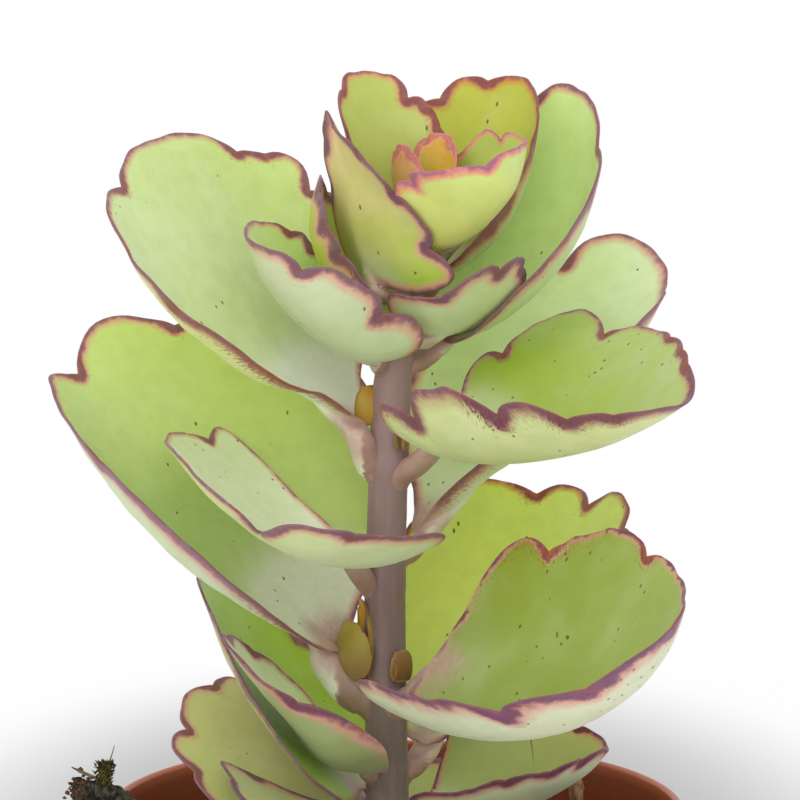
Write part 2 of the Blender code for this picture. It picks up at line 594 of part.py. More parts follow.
def make_bud(name, bud, collection, cutters, material):
    size = bud["size"]
    foot = Vector(bud["foot"])
    made = lump(name, foot, BUD_CORE_SHARE * size, 0.7 * size, collection)
    made.data.materials.append(material)
    small = []
    for side in (0, 180):
        turn = math.radians(bud["lean"] + side)
        start = foot + 0.08 * size * Vector((math.cos(turn), math.sin(turn), 2.0))
        leaf = dict(SMALL_LEAF, azimuth=bud["lean"] + side, foot=tuple(start), petiole=0.05 * size)
        leaf.update(rise=70, lift=74, curl=30, length=0.9 * size, width=BUD_GIRTH_SHARE * size * 1.5)
        leaf_name = f"{name}_leaf_{side}"
        small.append(blade(leaf_name, leaf, cutters, None, 0.7, SMALL_BLADE_RINGS, SMALL_BLADE_ANGLE_STEP))
    return joined(made, small, solver="MANIFOLD")


def make_twig(collection, cutters, material):
    return tube("twig", TWIG_PATH, TWIG_RADII, collection, material)


def make_moss(collection, cutters, material):
    foot = Vector(MOSS_FOOT)
    cushion = [foot + Vector(offset) for offset in ((-2.4, 0.2, 0.0), (0.4, 0.0, 0.3), (3.0, 0.2, -0.2))]
    made = tube("twig_moss", cushion, [0.5, 1.0, 0.5], collection, material)
    shoots = []
    for count, (along, across, tall) in enumerate(MOSS_SHOOTS):
        low = foot + Vector((along, across, 0.0))
        high = low + Vector((0.25 * along, 1.5 * across, tall))
        radii = [MOSS_SHOOT_RADIUS, MOSS_SHOOT_RADIUS, 0.35]
        shoots.append(tube(f"moss_shoot_{count}", [low, (low + high) / 2, high], radii, cutters, rounding=1))
    return joined(made, shoots)


def make_stub(collection, material):
    path = [Vector(point) for point in STUB_PATH]
    path.append(path[-1] + Vector((0.0, 0.0, 0.6)))
    return tube("dry_stub", path, [STUB_RADIUS] * 3 + [0.6 * STUB_RADIUS], collection, material)


def shade(made, smooth_angle):
    for face in made.data.polygons:
        face.use_smooth = True
    made.data.set_sharp_from_angle(angle=math.radians(smooth_angle))


def main():
    remove_all()
    pieces = collection_named(OBJECT_NAME)
    cutters = collection_named("cutters")
    cutters.hide_render = True
    terracotta = material_named("pot_plastic", (0.42, 0.13, 0.06), 0.55)
    earth = material_named("potting_soil", (0.06, 0.035, 0.02), 0.95)
    stem_skin = material_named("stem_skin", (0.36, 0.24, 0.22), 0.6)
    leaf_skin = material_named("leaf_skin", (0.42, 0.6, 0.2), 0.5)
    tip_skin = material_named("tip_skin", (0.75, 0.4, 0.12), 0.5)
    bud_skin = material_named("bud_skin", (0.6, 0.3, 0.1), 0.55)
    bark = material_named("twig_bark", (0.05, 0.05, 0.035), 0.9)
    moss = material_named("moss", (0.07, 0.07, 0.02), 0.95)
    dry_wood = material_named("dry_wood", (0.4, 0.25, 0.13), 0.8)

    made = [make_pot(pieces, cutters, terracotta), make_soil(pieces, cutters, earth)]
    made.append(make_stem(pieces, stem_skin))
    made += [make_leaf(name, leaf, pieces, cutters, leaf_skin) for name, leaf in LEAVES.items()]
    made.append(make_tip(pieces, cutters, tip_skin))
    made += [make_bud(name, bud, pieces, cutters, bud_skin) for name, bud in BUDS.items()]
    made.append(make_twig(pieces, cutters, bark))
    made.append(make_moss(pieces, cutters, moss))
    made.append(make_stub(pieces, dry_wood))
    for piece in made:
        shade(piece, 40.0)


main()
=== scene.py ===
import functools
import math
import random

import bmesh
import bpy
import numpy as np
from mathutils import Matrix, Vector, kdtree, noise


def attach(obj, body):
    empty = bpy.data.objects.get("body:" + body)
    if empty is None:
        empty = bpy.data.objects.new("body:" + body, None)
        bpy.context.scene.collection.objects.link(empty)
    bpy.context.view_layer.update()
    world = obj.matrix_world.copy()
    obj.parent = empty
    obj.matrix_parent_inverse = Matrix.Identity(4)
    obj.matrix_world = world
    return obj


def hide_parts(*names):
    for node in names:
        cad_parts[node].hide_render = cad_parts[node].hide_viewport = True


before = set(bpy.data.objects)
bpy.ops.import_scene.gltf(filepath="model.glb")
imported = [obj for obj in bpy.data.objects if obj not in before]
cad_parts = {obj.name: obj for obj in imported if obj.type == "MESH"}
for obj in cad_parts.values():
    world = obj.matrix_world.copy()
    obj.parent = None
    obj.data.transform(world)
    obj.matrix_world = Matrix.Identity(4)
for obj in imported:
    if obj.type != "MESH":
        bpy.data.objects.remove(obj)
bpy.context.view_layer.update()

mm = 0.001
fullTurn = 6.28  # radians, for waves and lumps that start anywhere
collection = bpy.context.scene.collection


def linearColour(hexValue):
    # an sRGB hex value turned to the linear colour that the shaders work in
    parts = [int(hexValue[i:i + 2], 16) / 255 for i in (1, 3, 5)]
    return [p / 12.92 if p <= 0.04045 else ((p + 0.055) / 1.055) ** 2.4 for p in parts] + [1.0]


def addNode(tree, kind, inputs=None, **settings):
    # one node: an input given as another node's output is linked, and any other is set, a hex colour as linear
    node = tree.nodes.new("ShaderNode" + kind)
    for key, value in settings.items():
        setattr(node, key, value)
    for key, value in (inputs or {}).items():
        if isinstance(value, bpy.types.NodeSocket):
            tree.links.new(value, node.inputs[key])
        else:
            node.inputs[key].default_value = linearColour(value) if isinstance(value, str) else value
    return node.outputs


def newMaterial(name, finish):
    # finish holds the shader's inputs that are the same all over, and the second result adds nodes to its tree
    material = bpy.data.materials.new(name)
    material.use_nodes = True
    for key, value in finish.items():
        material.node_tree.nodes["Principled BSDF"].inputs[key].default_value = value
    return material, functools.partial(addNode, material.node_tree)


def dressSurface(material, colour, relief=None, strength=0.0, depth=0.0):
    # the surface's colour, and a relief that is felt as a bump of this strength and depth
    tree = material.node_tree
    shader = tree.nodes["Principled BSDF"].inputs
    tree.links.new(colour, shader["Base Color"])
    if relief:
        bump = addNode(tree, "Bump", {"Strength": strength, "Distance": depth, "Height": relief})[0]
        tree.links.new(bump, shader["Normal"])


def meshPiece(name, points, faces, material, attributes=None):
    # a smooth-shaded mesh object from points in millimetres
    mesh = bpy.data.meshes.new(name)
    mesh.from_pydata((np.asarray(points) * mm).tolist(), [], faces)
    mesh.validate()
    mesh.polygons.foreach_set("use_smooth", [True] * len(mesh.polygons))
    for key, values in (attributes or {}).items():
        writeAttribute(mesh, key, values)
    return linkedPiece(name, mesh, material)


def shapePiece(name, shape, material):
    # the same from a bmesh, left flat-shaded
    mesh = bpy.data.meshes.new(name)
    shape.to_mesh(mesh)
    shape.free()
    return linkedPiece(name, mesh, material)


def linkedPiece(name, mesh, material):
    piece = bpy.data.objects.new(name, mesh)
    collection.objects.link(piece)
    if material:
        mesh.materials.append(material)
    return piece


def writeAttribute(mesh, key, values):
    values = np.asarray(values, dtype=np.float32)
    kind, field = ("FLOAT", "value") if values.ndim == 1 else ("FLOAT_VECTOR", "vector")
    mesh.attributes.new(key, kind, "POINT").data.foreach_set(field, values.ravel())


def finishPiece(piece, slotName, *nodes):
    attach(piece, "root")
    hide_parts(*nodes)


def smoothStep(value, low, high):
    share = np.clip((value - low) / (high - low), 0.0, 1.0)
    return share * share * (3.0 - 2.0 * share)


# The camera stands where the photograph was taken from, a little above the rosette.
view = dict(target=(0.65, 0.0, 144.0), distance=700.0, pitch=8.79, lens=204.3, sensor=36.0, clip=(0.05, 20.0))
# sky and front are how strong the even light and the soft front lamp are, and spread is the lamp's width in
# degrees. The floor is off-white, with a painted soft grey shadow behind the pot: its centre and reach in
# metres, and the shares of its reach where it starts and is full.
light = dict(sky=0.88, skyColour="#ffffff", front=1.15, frontFrom=(-0.3, -1.0, 0.45), spread=60.0,
             floor="#fcfcfc", floorHalf=6000.0, shade="#c2c2c2", shadeAt=(0.0, 0.28), shadeReach=(0.115, 0.19),
             shadeFade=(1.15, 0.55))


def makeCamera():
    data = bpy.data.cameras.new("camera")
    data.lens, data.sensor_width = view["lens"], view["sensor"]
    camera = bpy.data.objects.new("camera", data)
    collection.objects.link(camera)
    pitch = math.radians(view["pitch"])
    back = Vector((0.0, -math.cos(pitch), math.sin(pitch)))
    camera.location = mm * (Vector(view["target"]) + view["distance"] * back)
    camera.rotation_euler = (math.pi / 2 - pitch, 0.0, 0.0)
    data.clip_start, data.clip_end = view["clip"]
    bpy.context.scene.camera = camera


def makeStage():
    scene = bpy.context.scene
    scene.view_settings.view_transform = "Standard"
    world = bpy.data.worlds.new("paleStudio")
    scene.world = world
    world.use_nodes = True
    backdrop = world.node_tree.nodes["Background"]
    backdrop.inputs["Color"].default_value = linearColour(light["skyColour"])
    backdrop.inputs["Strength"].default_value = light["sky"]
    lampData = bpy.data.lights.new("frontSoftbox", "SUN")
    lampData.energy, lampData.angle = light["front"], math.radians(light["spread"])
    lamp = bpy.data.objects.new("frontSoftbox", lampData)
    collection.objects.link(lamp)
    lamp.rotation_euler = (-Vector(light["frontFrom"])).to_track_quat("-Z", "Y").to_euler()
    # Matt paper sweep: no gloss, so it only gives back soft light.
    material, add = newMaterial("paperSweep", {"Roughness": 1.0, "Specular IOR Level": 0.0})
    spot = add("TexCoord")["Object"]
    # painted shadow: the floor greys softly behind the pot, where the plant's shadow falls
    (atX, atY), (reachX, reachY), (start, full) = light["shadeAt"], light["shadeReach"], light["shadeFade"]
    fromPaintedShadow = add("Mapping", {"Vector": spot, "Location": (-atX, -atY, 0.0)})[0]
    share = add("VectorMath", {0: fromPaintedShadow, 1: (1 / reachX, 1 / reachY, 0.0)}, operation="MULTIPLY")[0]
    away = add("VectorMath", {0: share}, operation="LENGTH")["Value"]
    shaded = add("MapRange", {0: away, 1: start, 2: full}, interpolation_type="SMOOTHSTEP")[0]
    tint = add("Mix", {0: shaded, 6: light["floor"], 7: light["shade"]}, data_type="RGBA")[2]
    dressSurface(material, tint)
    half = light["floorHalf"]
    floor = meshPiece("floor", [(-half, -half, 0), (half, -half, 0), (half, half, 0), (-half, half, 0)],
                      [(0, 1, 2, 3)], material)


makeCamera()
makeStage()
print("stage: camera, light and floor")

# The stem's line: height, sideways place and radius at each station.
stemStations = [
    (46.0, -1.0, 3.0), (69.0, -1.0, 3.3), (80.0, -1.3, 3.3), (98.0, -1.6, 3.25), (116.0, -1.7, 3.1),
    (134.0, -1.1, 2.95), (146.0, -0.6, 2.9), (152.0, 0.1, 2.6), (158.0, 1.9, 2.1), (163.0, 3.4, 1.7),
    (168.0, 4.9, 1.2),
]


def stemAt(height):
    heights, sides, radii = zip(*stemStations)
    return np.interp(height, heights, sides), np.interp(height, heights, radii)


# Shared by all blades, in millimetres. The margin is edge thick and thickens to body over fleshRun; keel and
# groove are the midrib under and over the blade, ribHalf to each side, and midribFlat is flat beside it.
# ruffle and pinch are the margin's waves, waves their sizes and lengths, and ruffleRun how far in they reach;
# swell is a low unevenness over swellRun. A blade with a mean size under fullRim, fullWave or fullFlesh has
# these in proportion. rimRings are the rows of points in from the margin.
bladeShape = dict(
    edge=0.42, edgeRun=0.24, body=0.95, fleshRun=6.0, keel=0.8, groove=0.18, ribHalf=1.9, ribEnd=(0.05, 0.75),
    midribFlat=2.5, stemReach=3.2, ruffle=0.13, pinch=0.3, waves=((0.6, 3.1), (0.35, 1.5)), ruffleRun=2.6,
    swell=0.22, swellRun=9.0, swellFrom=4.0, fullRim=8.0, fullWave=12.0, fullFlesh=14.0,
    rimRings=(2.7, 1.9, 1.3, 0.9, 0.6, 0.4, 0.24, 0.12, 0.05, 0.012, 0.0), innerRings=13, arcSteps=10,
    evenFrom=(0.6, 2.5), evenRounds=14, notchReach=2.4, stalkReach=0.2)
# Round the margin, in degrees and shares of the radius: the sinus over the petiole and the ears beside it, the
# lobes' usual width, and a notch's width, usual depth and raised shoulders (share of its depth, place, width).
# nibble is a small unevenness of two wave counts. The lip turns up from the share lipStart of the way out.
marginShape = dict(
    sinusWidth=22.0, earAngle=42.0, earWidth=20.0, lobeWidth=24.0, notchWidth=4.2, notchPower=1.25,
    notchDepth=0.05, shoulder=(0.25, 3.6, 1.8), nibble=0.004, nibbleWaves=((17, 1.0), (31, 0.7)), lipEase=0.1,
    lipStart=0.45, angleStep=2.25, notchSteps=(-2.6, -1.5, -0.7, 0.0, 0.7, 1.5, 2.6))
# Leaves, in pairs numbered from the bottom. azimuth is where a leaf points and node its height on the stem.
# rise is the petiole's slope, lift the blade's slope at its foot and curl how far it bends up by its tip. cup
# and fold turn each half up, taper changes the cup towards the tip, and roll tilts the blade about its midrib.
# lip bends the margin up around lipAt. egg, ear, sinus, tip, base and skew are the outline's fullness, stout
# thickens the petiole, and leaveAt is where it leaves the stem. lobes (angle, amount, width) and notches
# (angle, depth) shape the margin by angle round the blade: 0 is the tip, positive the left half.
hiddenLeaf = dict(
    curl=10, cupRight=20, foldLeft=1.3, foldRight=1.3, roll=0, taper=0, lip=1, lipAt=0, egg=0, sinus=0.15, ear=0.05,
    tip=0.95, base=1, skew=0, notchDepth=0.06)
leaves = {
    "leaf_1_back_left": dict(
        azimuth=180, node=73.8, length=36.5, width=36.5, petiole=1.5, rise=17, lift=37, curl=-2, cupLeft=-1,
        cupRight=-1, foldLeft=1.25, foldRight=1.25, roll=-22, taper=0, lip=0.3, lipAt=77, egg=0.04, sinus=0.1,
        ear=0, tip=0.77, base=1.11, skew=-0.13, lobes=[(-45, 0.02), (45, -0.02)],
        notches=[-62, -28, (8, 0.11), 44, 82]),
    "leaf_1_front_right": dict(
        hiddenLeaf, azimuth=328, node=73.8, length=24, width=20, petiole=2.3, rise=5, lift=4, cupLeft=20,
        notches=[-60, -20, 24, 66]),
    "leaf_2_front_left": dict(
        azimuth=215, node=75.7, length=32.5, width=18.5, petiole=1.9, rise=18, lift=9, curl=42, cupLeft=18,
        cupRight=15, foldLeft=1.45, foldRight=1.21, roll=-23, taper=-0.05, lip=-1.4, lipAt=95, egg=0.02, sinus=0.17,
        ear=0.11, tip=0.87, base=0.87, skew=0.13, notches=[(-67, 0.035), 8, 48]),
    "leaf_2_back_right": dict(
        hiddenLeaf, azimuth=48, node=75.7, length=28, width=21, petiole=2, rise=12, lift=10, cupLeft=25,
        notches=[-64, -24, 20, 60]),
    "leaf_3_back_left": dict(
        azimuth=165, node=79.7, length=47, width=39.5, petiole=2.6, rise=60, lift=45, curl=12, cupLeft=-3,
        cupRight=30, foldLeft=1.35, foldRight=1.3, roll=2, taper=-0.02, lip=3.3, lipAt=75, egg=-0.27, sinus=0.19,
        ear=-0.01, tip=0.98, base=1.1, skew=0, notches=[-74, -40, 38, 78], notchDepth=0.06),
    "leaf_3_front_right": dict(
        azimuth=347, node=79.7, length=33.5, width=41, petiole=2.5, rise=12, lift=-12, curl=66, cupLeft=114,
        cupRight=71, foldLeft=0.85, foldRight=1.95, roll=-14, taper=-0.1, lip=-1.4, lipAt=-96, egg=0.05, sinus=0.05,
        ear=0.19, tip=1.05, base=0.83, skew=0.18, lobes=[(-150, 0.02), (-45, -0.02), (-15, 0.02), (15, -0.05)],
        notches=[-78, (-47, 0.067), (-21, 0.11), 36, 74]),
    "leaf_4_front_left": dict(
        azimuth=212, node=85.5, length=37, width=25.5, petiole=4.6, rise=-2, lift=45, curl=8, cupLeft=40,
        cupRight=40, foldLeft=1.96, foldRight=1.14, roll=-19, taper=-0.18, lip=5.9, lipAt=136, egg=-0.16,
        sinus=0.25, ear=-0.1, tip=0.92, base=1.11, skew=0.06, notches=[-58, -24, 26, 64], notchDepth=0.06),
    "leaf_4_back_right": dict(
        azimuth=30, node=85.5, length=53, width=47, petiole=4.6, rise=54, lift=43, curl=6, cupLeft=64, cupRight=-1,
        foldLeft=1.84, foldRight=1.3, roll=0, taper=0, lip=3, lipAt=-67, egg=0.3, sinus=0.09, ear=-0.05, tip=1.01,
        base=1.2, skew=0.18, lobes=[(15, -0.02)], notches=[-70, -34, (4, 0.096), (27, 0.053), 64]),
    "leaf_5_back_left": dict(
        azimuth=175, node=97.2, length=63, width=59, petiole=8.3, rise=58, lift=47, curl=-3, cupLeft=21,
        cupRight=48, foldLeft=1.31, foldRight=0.88, roll=-27, taper=-0.35, lip=9.2, lipAt=92, egg=0.02, sinus=0.04,
        ear=-0.02, tip=0.88, base=1.27, skew=-0.22, stout=1.45, lobes=[(-150, -0.03), (-45, -0.05), (-15, 0.05),
        (15, -0.02), (115, -0.04)], notches=[-74, (-37, 0.052), (-2, 0.11), (55, 0.045)]),
    "leaf_5_front_right": dict(
        azimuth=316, node=97.2, length=58.5, width=51, petiole=7.5, rise=43, lift=-13, curl=58, cupLeft=17,
        cupRight=95, foldLeft=1.18, foldRight=0.86, roll=49, taper=-0.37, lip=6.6, lipAt=-64, egg=-0.04, sinus=0,
        ear=0.22, tip=1.04, base=0.97, skew=0.09, lobes=[(-150, -0.02), (-115, 0.02), (-15, 0.1), (45, -0.02),
        (80, 0.02), (115, -0.05), (150, 0.02)], notches=[-165, (-74, 0.075), (-45, 0.042), (-12, 0.035),
        (55, 0.055), (120, 0.065)]),
    "leaf_6_front_left": dict(
        azimuth=229, node=115.9, length=40.5, width=45.5, petiole=9.4, rise=41, lift=5, curl=46, cupLeft=62,
        cupRight=8, foldLeft=0.79, foldRight=2.06, roll=-28, taper=-0.09, lip=2.7, lipAt=134, egg=-0.26, sinus=0.08,
        ear=0.23, tip=1.05, base=0.73, skew=-0.17, leaveAt=196, lobes=[(-115, -0.06), (45, -0.26), (50, -0.36, 7),
        (64, 0.08, 7), (80, 0.02)], notches=[-116, (57, -0.03), (89, 0.03)]),
    "leaf_6_back_right": dict(
        azimuth=30, node=119.7, length=67.3, width=42.5, petiole=3.6, rise=25, lift=42.7, curl=0.5, cupLeft=52,
        cupRight=9.8, foldLeft=0.82, foldRight=1.52, roll=1.8, taper=-0.01, lip=7.5, lipAt=-104, egg=0.37,
        sinus=0.09, ear=-0.11, tip=0.87, base=1.26, skew=0.09, lobes=[(-150, -0.03), (-115, -0.01),
        (-85, -0.25, 20), (-55, -0.09, 20), (-30, -0.18, 18), (-10, -0.13, 16), (45, -0.13), (115, 0.11)],
        notches=[-66, (-44, 0.02), (36, 0.09)]),
    "leaf_7_back_left": dict(
        azimuth=171, node=134.3, length=58, width=56, petiole=4.8, rise=48, lift=53.4, curl=-0.8, cupLeft=-8.4,
        cupRight=43, foldLeft=0.16, foldRight=2.14, roll=-17.2, taper=-0.64, lip=10.3, lipAt=113, egg=0.29,
        sinus=0.09, ear=-0.12, tip=1.07, base=1.07, skew=-0.06, stout=1.2, lobes=[(-150, 0.02), (-115, 0.03),
        (-45, -0.03), (-15, 0.03), (15, -0.03), (45, 0.03), (80, 0.01), (100, -0.07, 18), (122, 0.02, 18),
        (150, -0.04)], notches=[(-72, 0.081), (-52, 0.03), (-42, 0.061), (20, 0.06), (52, 0.02), (80, 0.045)]),
    "leaf_7_front_right": dict(
        azimuth=330, node=133.4, length=51.5, width=51, petiole=9.4, rise=34, lift=-4, curl=45, cupLeft=-4,
        cupRight=99, foldLeft=1, foldRight=0.72, roll=37, taper=-0.22, lip=6.1, lipAt=-103, egg=-0.26, sinus=0.31,
        ear=-0.19, tip=0.78, base=0.68, skew=0.12, lobes=[(-150, 0.12), (-115, -0.07), (-80, -0.07), (-15, 0.02),
        (15, -0.02), (45, 0.03), (80, -0.07), (115, 0.08), (150, 0.12)], notches=[(-138, 0.081), (-84, 0.079),
        (-57, 0.076), -41, (14, 0.02), (26, 0.033), (42, 0.031), (85, 0.1), (147, 0.103)]),
    "leaf_8_front_left": dict(
        azimuth=205, node=149.9, length=34, width=34, petiole=1.2, rise=38, lift=19, curl=58, cupLeft=105,
        cupRight=50, foldLeft=0.97, foldRight=2.16, roll=-26, taper=-0.24, lip=2.7, lipAt=133, egg=0.18, sinus=0.22,
        ear=0.21, tip=0.88, base=0.75, skew=-0.06, lobes=[(-15, 0.02), (115, -0.02)], notches=[-121, (-84, 0.03),
        (-60, 0.03), (46, 0.094), (111, 0.06)]),
    "leaf_8_back_right": dict(
        azimuth=35, node=149.9, length=51, width=40.5, petiole=4.9, rise=38, lift=24, curl=65, cupLeft=41,
        cupRight=45, foldLeft=1.3, foldRight=0.93, roll=15, taper=-0.36, lip=4.6, lipAt=-84, egg=-0.18, sinus=0.09,
        ear=0.06, tip=0.91, base=1.05, skew=0.05, lobes=[(-45, -0.02)], notches=[(-74, 0.033),
        (-46, 0.056), 20, 62]),
    "leaf_9_back_left": dict(
        azimuth=164, node=154.1, length=29, width=25, petiole=1.8, rise=73, lift=34, curl=71, cupLeft=35,
        cupRight=53, foldLeft=1.32, foldRight=1.4, roll=4, taper=-0.35, lip=2.6, lipAt=64, egg=-0.23, sinus=0.2,
        ear=0.13, tip=0.91, base=0.96, skew=0.05, notches=[-80, -36, 24, 60, 86]),
    "leaf_9_front_right": dict(
        azimuth=325, node=154.1, length=25, width=18.5, petiole=1.3, rise=16, lift=9, curl=69, cupLeft=34,
        cupRight=46, foldLeft=1.73, foldRight=0.96, roll=-10, taper=-0.33, lip=-1.1, lipAt=-71, egg=-0.27,
        sinus=0.2, ear=0.2, tip=0.82, base=0.76, skew=-0.09, lobes=[(-115, 0.03), (-80, -0.11), (-45, 0.06),
        (-15, -0.12)], notches=[(-84, 0.067), (-14, 0.11), 34, 80]),
    "leaf_10_front_left": dict(
        azimuth=204, node=160.8, length=29.3, width=23.5, petiole=3.1, rise=25.6, lift=64.9, curl=28.2,
        cupLeft=21.4, cupRight=7.5, foldLeft=0.6, foldRight=1.29, roll=3, taper=-0.67, lip=-3.3, lipAt=21.7,
        egg=-0.16, sinus=0.24, ear=0.16, tip=1.06, base=0.76, skew=0.32, lobes=[(-115, 0.02), (0, 0.13, 9),
        (-15, 0.03), (80, 0.02), (115, -0.05)], notches=[(-72, 0.015), (-34, 0.015), 38, (71, 0.11), (116, 0.11)]),
    "leaf_10_back_right": dict(
        azimuth=47, node=160.8, length=42, width=32.5, petiole=0.7, rise=42, lift=41, curl=40, cupLeft=33,
        cupRight=21, foldLeft=1.2, foldRight=1.25, roll=7, taper=-0.25, lip=8, lipAt=-102, egg=0.01, sinus=0.24,
        ear=-0.07, tip=0.87, base=1.02, skew=0.2, lobes=[(15, 0.02)], notches=[(-114, 0.027), (-100, 0.025),
        (-64, 0.02), 10, (36, 0.065), 76]),
    "leaf_11_back_left": dict(
        azimuth=161, node=165.5, length=30.5, width=24, petiole=2.8, rise=81, lift=70, curl=9, cupLeft=42,
        cupRight=54, foldLeft=1.27, foldRight=1.15, roll=-19, taper=-0.16, lip=2.4, lipAt=124, egg=0, sinus=0.22,
        ear=0.1, tip=0.93, base=1, skew=-0.12, notches=[(-76, 0.04), (-60, 0.04), (-46, 0.105), 26, 66]),
    "leaf_11_front_right": dict(
        azimuth=320, node=165.9, length=25.5, width=31, petiole=3.5, rise=73, lift=16, curl=58, cupLeft=49,
        cupRight=109, foldLeft=0.98, foldRight=1.15, roll=37, taper=-0.35, lip=5.4, lipAt=-74, egg=0.11, sinus=0.2,
        ear=0.21, tip=1.05, base=0.86, skew=0.01, lobes=[(-15, 0.02)], notches=[-84, -30, (55, 0.11), (146, 0.11)]),
}
smallLeaf = dict(
    curl=10, cupLeft=45, cupRight=45, foldLeft=1.2, foldRight=1.2, roll=0, taper=0, lip=0.01, lipAt=0,
    egg=-0.1, sinus=0.1, ear=0.05, tip=0.85, base=0.95, skew=0, notches=[-40, 35], step=5.0)


def wrapAngle(angle):
    return (angle + 180.0) % 360.0 - 180.0


def notchPairs(leaf):
    usual = leaf.get("notchDepth", marginShape["notchDepth"])
    return [notch if isinstance(notch, tuple) else (notch, usual) for notch in leaf["notches"]]


def bladeOutline(leaf, angle, notched=True):
    # the blade's flat outline, in millimetres along and across
    margin = marginShape
    angle = wrapAngle(angle)
    gap = 180.0 - np.abs(angle)
    radius = 1.0 - leaf["sinus"] * np.exp(-((gap / margin["sinusWidth"]) ** 2))
    radius += leaf["ear"] * np.exp(-(((gap - margin["earAngle"]) / margin["earWidth"]) ** 2))
    for at, amount, *width in leaf.get("lobes", []):
        radius += amount * np.exp(-((wrapAngle(angle - at) / (width or [margin["lobeWidth"]])[0]) ** 2))
    for at, depth in notchPairs(leaf) if notched else []:
        away = np.abs(wrapAngle(angle - at)) / margin["notchWidth"]
        raised, shoulderAt, shoulderWidth = margin["shoulder"]
        radius -= depth * np.exp(-(away ** margin["notchPower"]))
        radius += raised * depth * np.exp(-(((away - shoulderAt) / shoulderWidth) ** 2))
    turn = np.radians(angle)
    for (count, size), start in zip(margin["nibbleWaves"], (leaf["length"], leaf["width"])):
        radius += margin["nibble"] * size * np.sin(count * turn + start)
    forward, side = np.cos(turn), np.sin(turn)
    fullness = np.where(forward > 0, leaf["tip"], leaf["base"])
    half = np.sign(side) * np.abs(side) ** fullness
    along = leaf["length"] / 2 * radius * forward
    across = leaf["width"] / 2 * radius * half * (1 + leaf["egg"] * forward)
    across = across * (1 + leaf["skew"] * np.sign(side))
    return along + leaf["length"] / 2 * (1 - leaf["sinus"]), across


def leafFoot(leaf):
    azimuth = math.radians(leaf["azimuth"])
    ahead = np.array([math.cos(azimuth), math.sin(azimuth), 0.0])
    if "foot" in leaf:
        return np.array(leaf["foot"], dtype=float), ahead
    side, _ = stemAt(leaf["node"])
    return np.array([side, 0.0, leaf["node"]]) + bladeShape["stemReach"] * ahead, ahead


def bladeSurface(leaf, angle, reach):
    # the blade's middle surface, for angles round it and shares of the way from its centre to its edge
    centre = leaf["length"] / 2 * (1 - leaf["sinus"])
    along, across = bladeOutline(leaf, angle)
    along, across = centre + reach * (along - centre), reach * across
    foot, ahead = leafFoot(leaf)
    up = np.array([0.0, 0.0, 1.0])
    left = np.cross(up, ahead)
    rise, lift, curl = (math.radians(leaf[key]) for key in ("rise", "lift", "curl"))
    foot = foot + leaf["petiole"] * (math.cos(rise) * ahead + math.sin(rise) * up)
    bend = curl / leaf["length"]
    slope = (lift + bend * along)[..., None]
    midrib = foot + (np.sin(slope) - math.sin(lift)) / bend * ahead + (math.cos(lift) - np.cos(slope)) / bend * up
    normal = np.cos(slope) * up - np.sin(slope) * ahead
    roll = math.radians(leaf["roll"])
    sideways = math.cos(roll) * left + math.sin(roll) * normal
    upward = math.cos(roll) * normal - math.sin(roll) * left
    onLeft = across > 0
    cup = np.radians(np.where(onLeft, leaf["cupLeft"], leaf["cupRight"]))
    fold = np.where(onLeft, leaf["foldLeft"], leaf["foldRight"])
    cup = cup * (1 + leaf["taper"] * (2 * np.clip(along / leaf["length"], -0.2, 1.1) - 1))
    out = np.abs(across) / (leaf["width"] / 2)
    flat, high = 0.0, 0.0
    steps = bladeShape["arcSteps"]
    for step in range(steps):
        away = out * (step + 0.5) / steps
        turn = cup * away ** fold * smoothStep(away * leaf["width"] / 2, 0.0, bladeShape["midribFlat"])
        flat, high = flat + np.cos(turn) / steps, high + np.sin(turn) / steps
    toward = np.cos(np.radians(angle - leaf["lipAt"]))
    facing = 0.5 * (toward + np.sqrt(toward ** 2 + marginShape["lipEase"] ** 2))
    start = marginShape["lipStart"]
    # the lip follows the outline without its notches, so that no crease runs inwards from a notch
    evenAlong, evenAcross = bladeOutline(leaf, angle, notched=False)
    even = np.hypot(along - centre, across) / np.hypot(evenAlong - centre, evenAcross)
    lip = leaf["lip"] * facing * np.maximum(0.0, (even - start) / (1 - start)) ** 2
    place = midrib + (flat * across)[..., None] * sideways + (high * np.abs(across) + lip)[..., None] * upward
    return place, along, across


def ringShell(rings, ends):
    # a closed skin over rings of points, with a point at each end
    around = len(rings[0])
    rows = [tuple(point) for ring in rings for point in ring] + [tuple(ends[0]), tuple(ends[1])]
    faces, first, base = [], len(rings) * around, (len(rings) - 1) * around
    for k in range(around):
        after = (k + 1) % around
        for i in range(len(rings) - 1):
            faces.append((i * around + k, i * around + after, (i + 1) * around + after, (i + 1) * around + k))
        faces += [(first, after, k), (first + 1, base + k, base + after)]
    return np.array(rows), faces


def tubeShell(points, radii, around, lump=None):
    # a round stalk through points; lump(ring, turn) scales its radius
    points = [Vector(point) for point in points]
    rings = []
    side = (points[1] - points[0]).normalized().orthogonal().normalized()
    for i, (point, radius) in enumerate(zip(points, radii)):
        ahead = (points[min(i + 1, len(points) - 1)] - points[max(i - 1, 0)]).normalized()
        side = (side - side.dot(ahead) * ahead).normalized()
        other = ahead.cross(side)
        ring = []
        for k in range(around):
            turn = 2 * math.pi * k / around
            size = float(radius) * (lump(i, turn) if lump else 1.0)
            ring.append(point + size * (math.cos(turn) * side + math.sin(turn) * other))
        rings.append(ring)
    return ringShell(rings, (points[0], points[-1]))


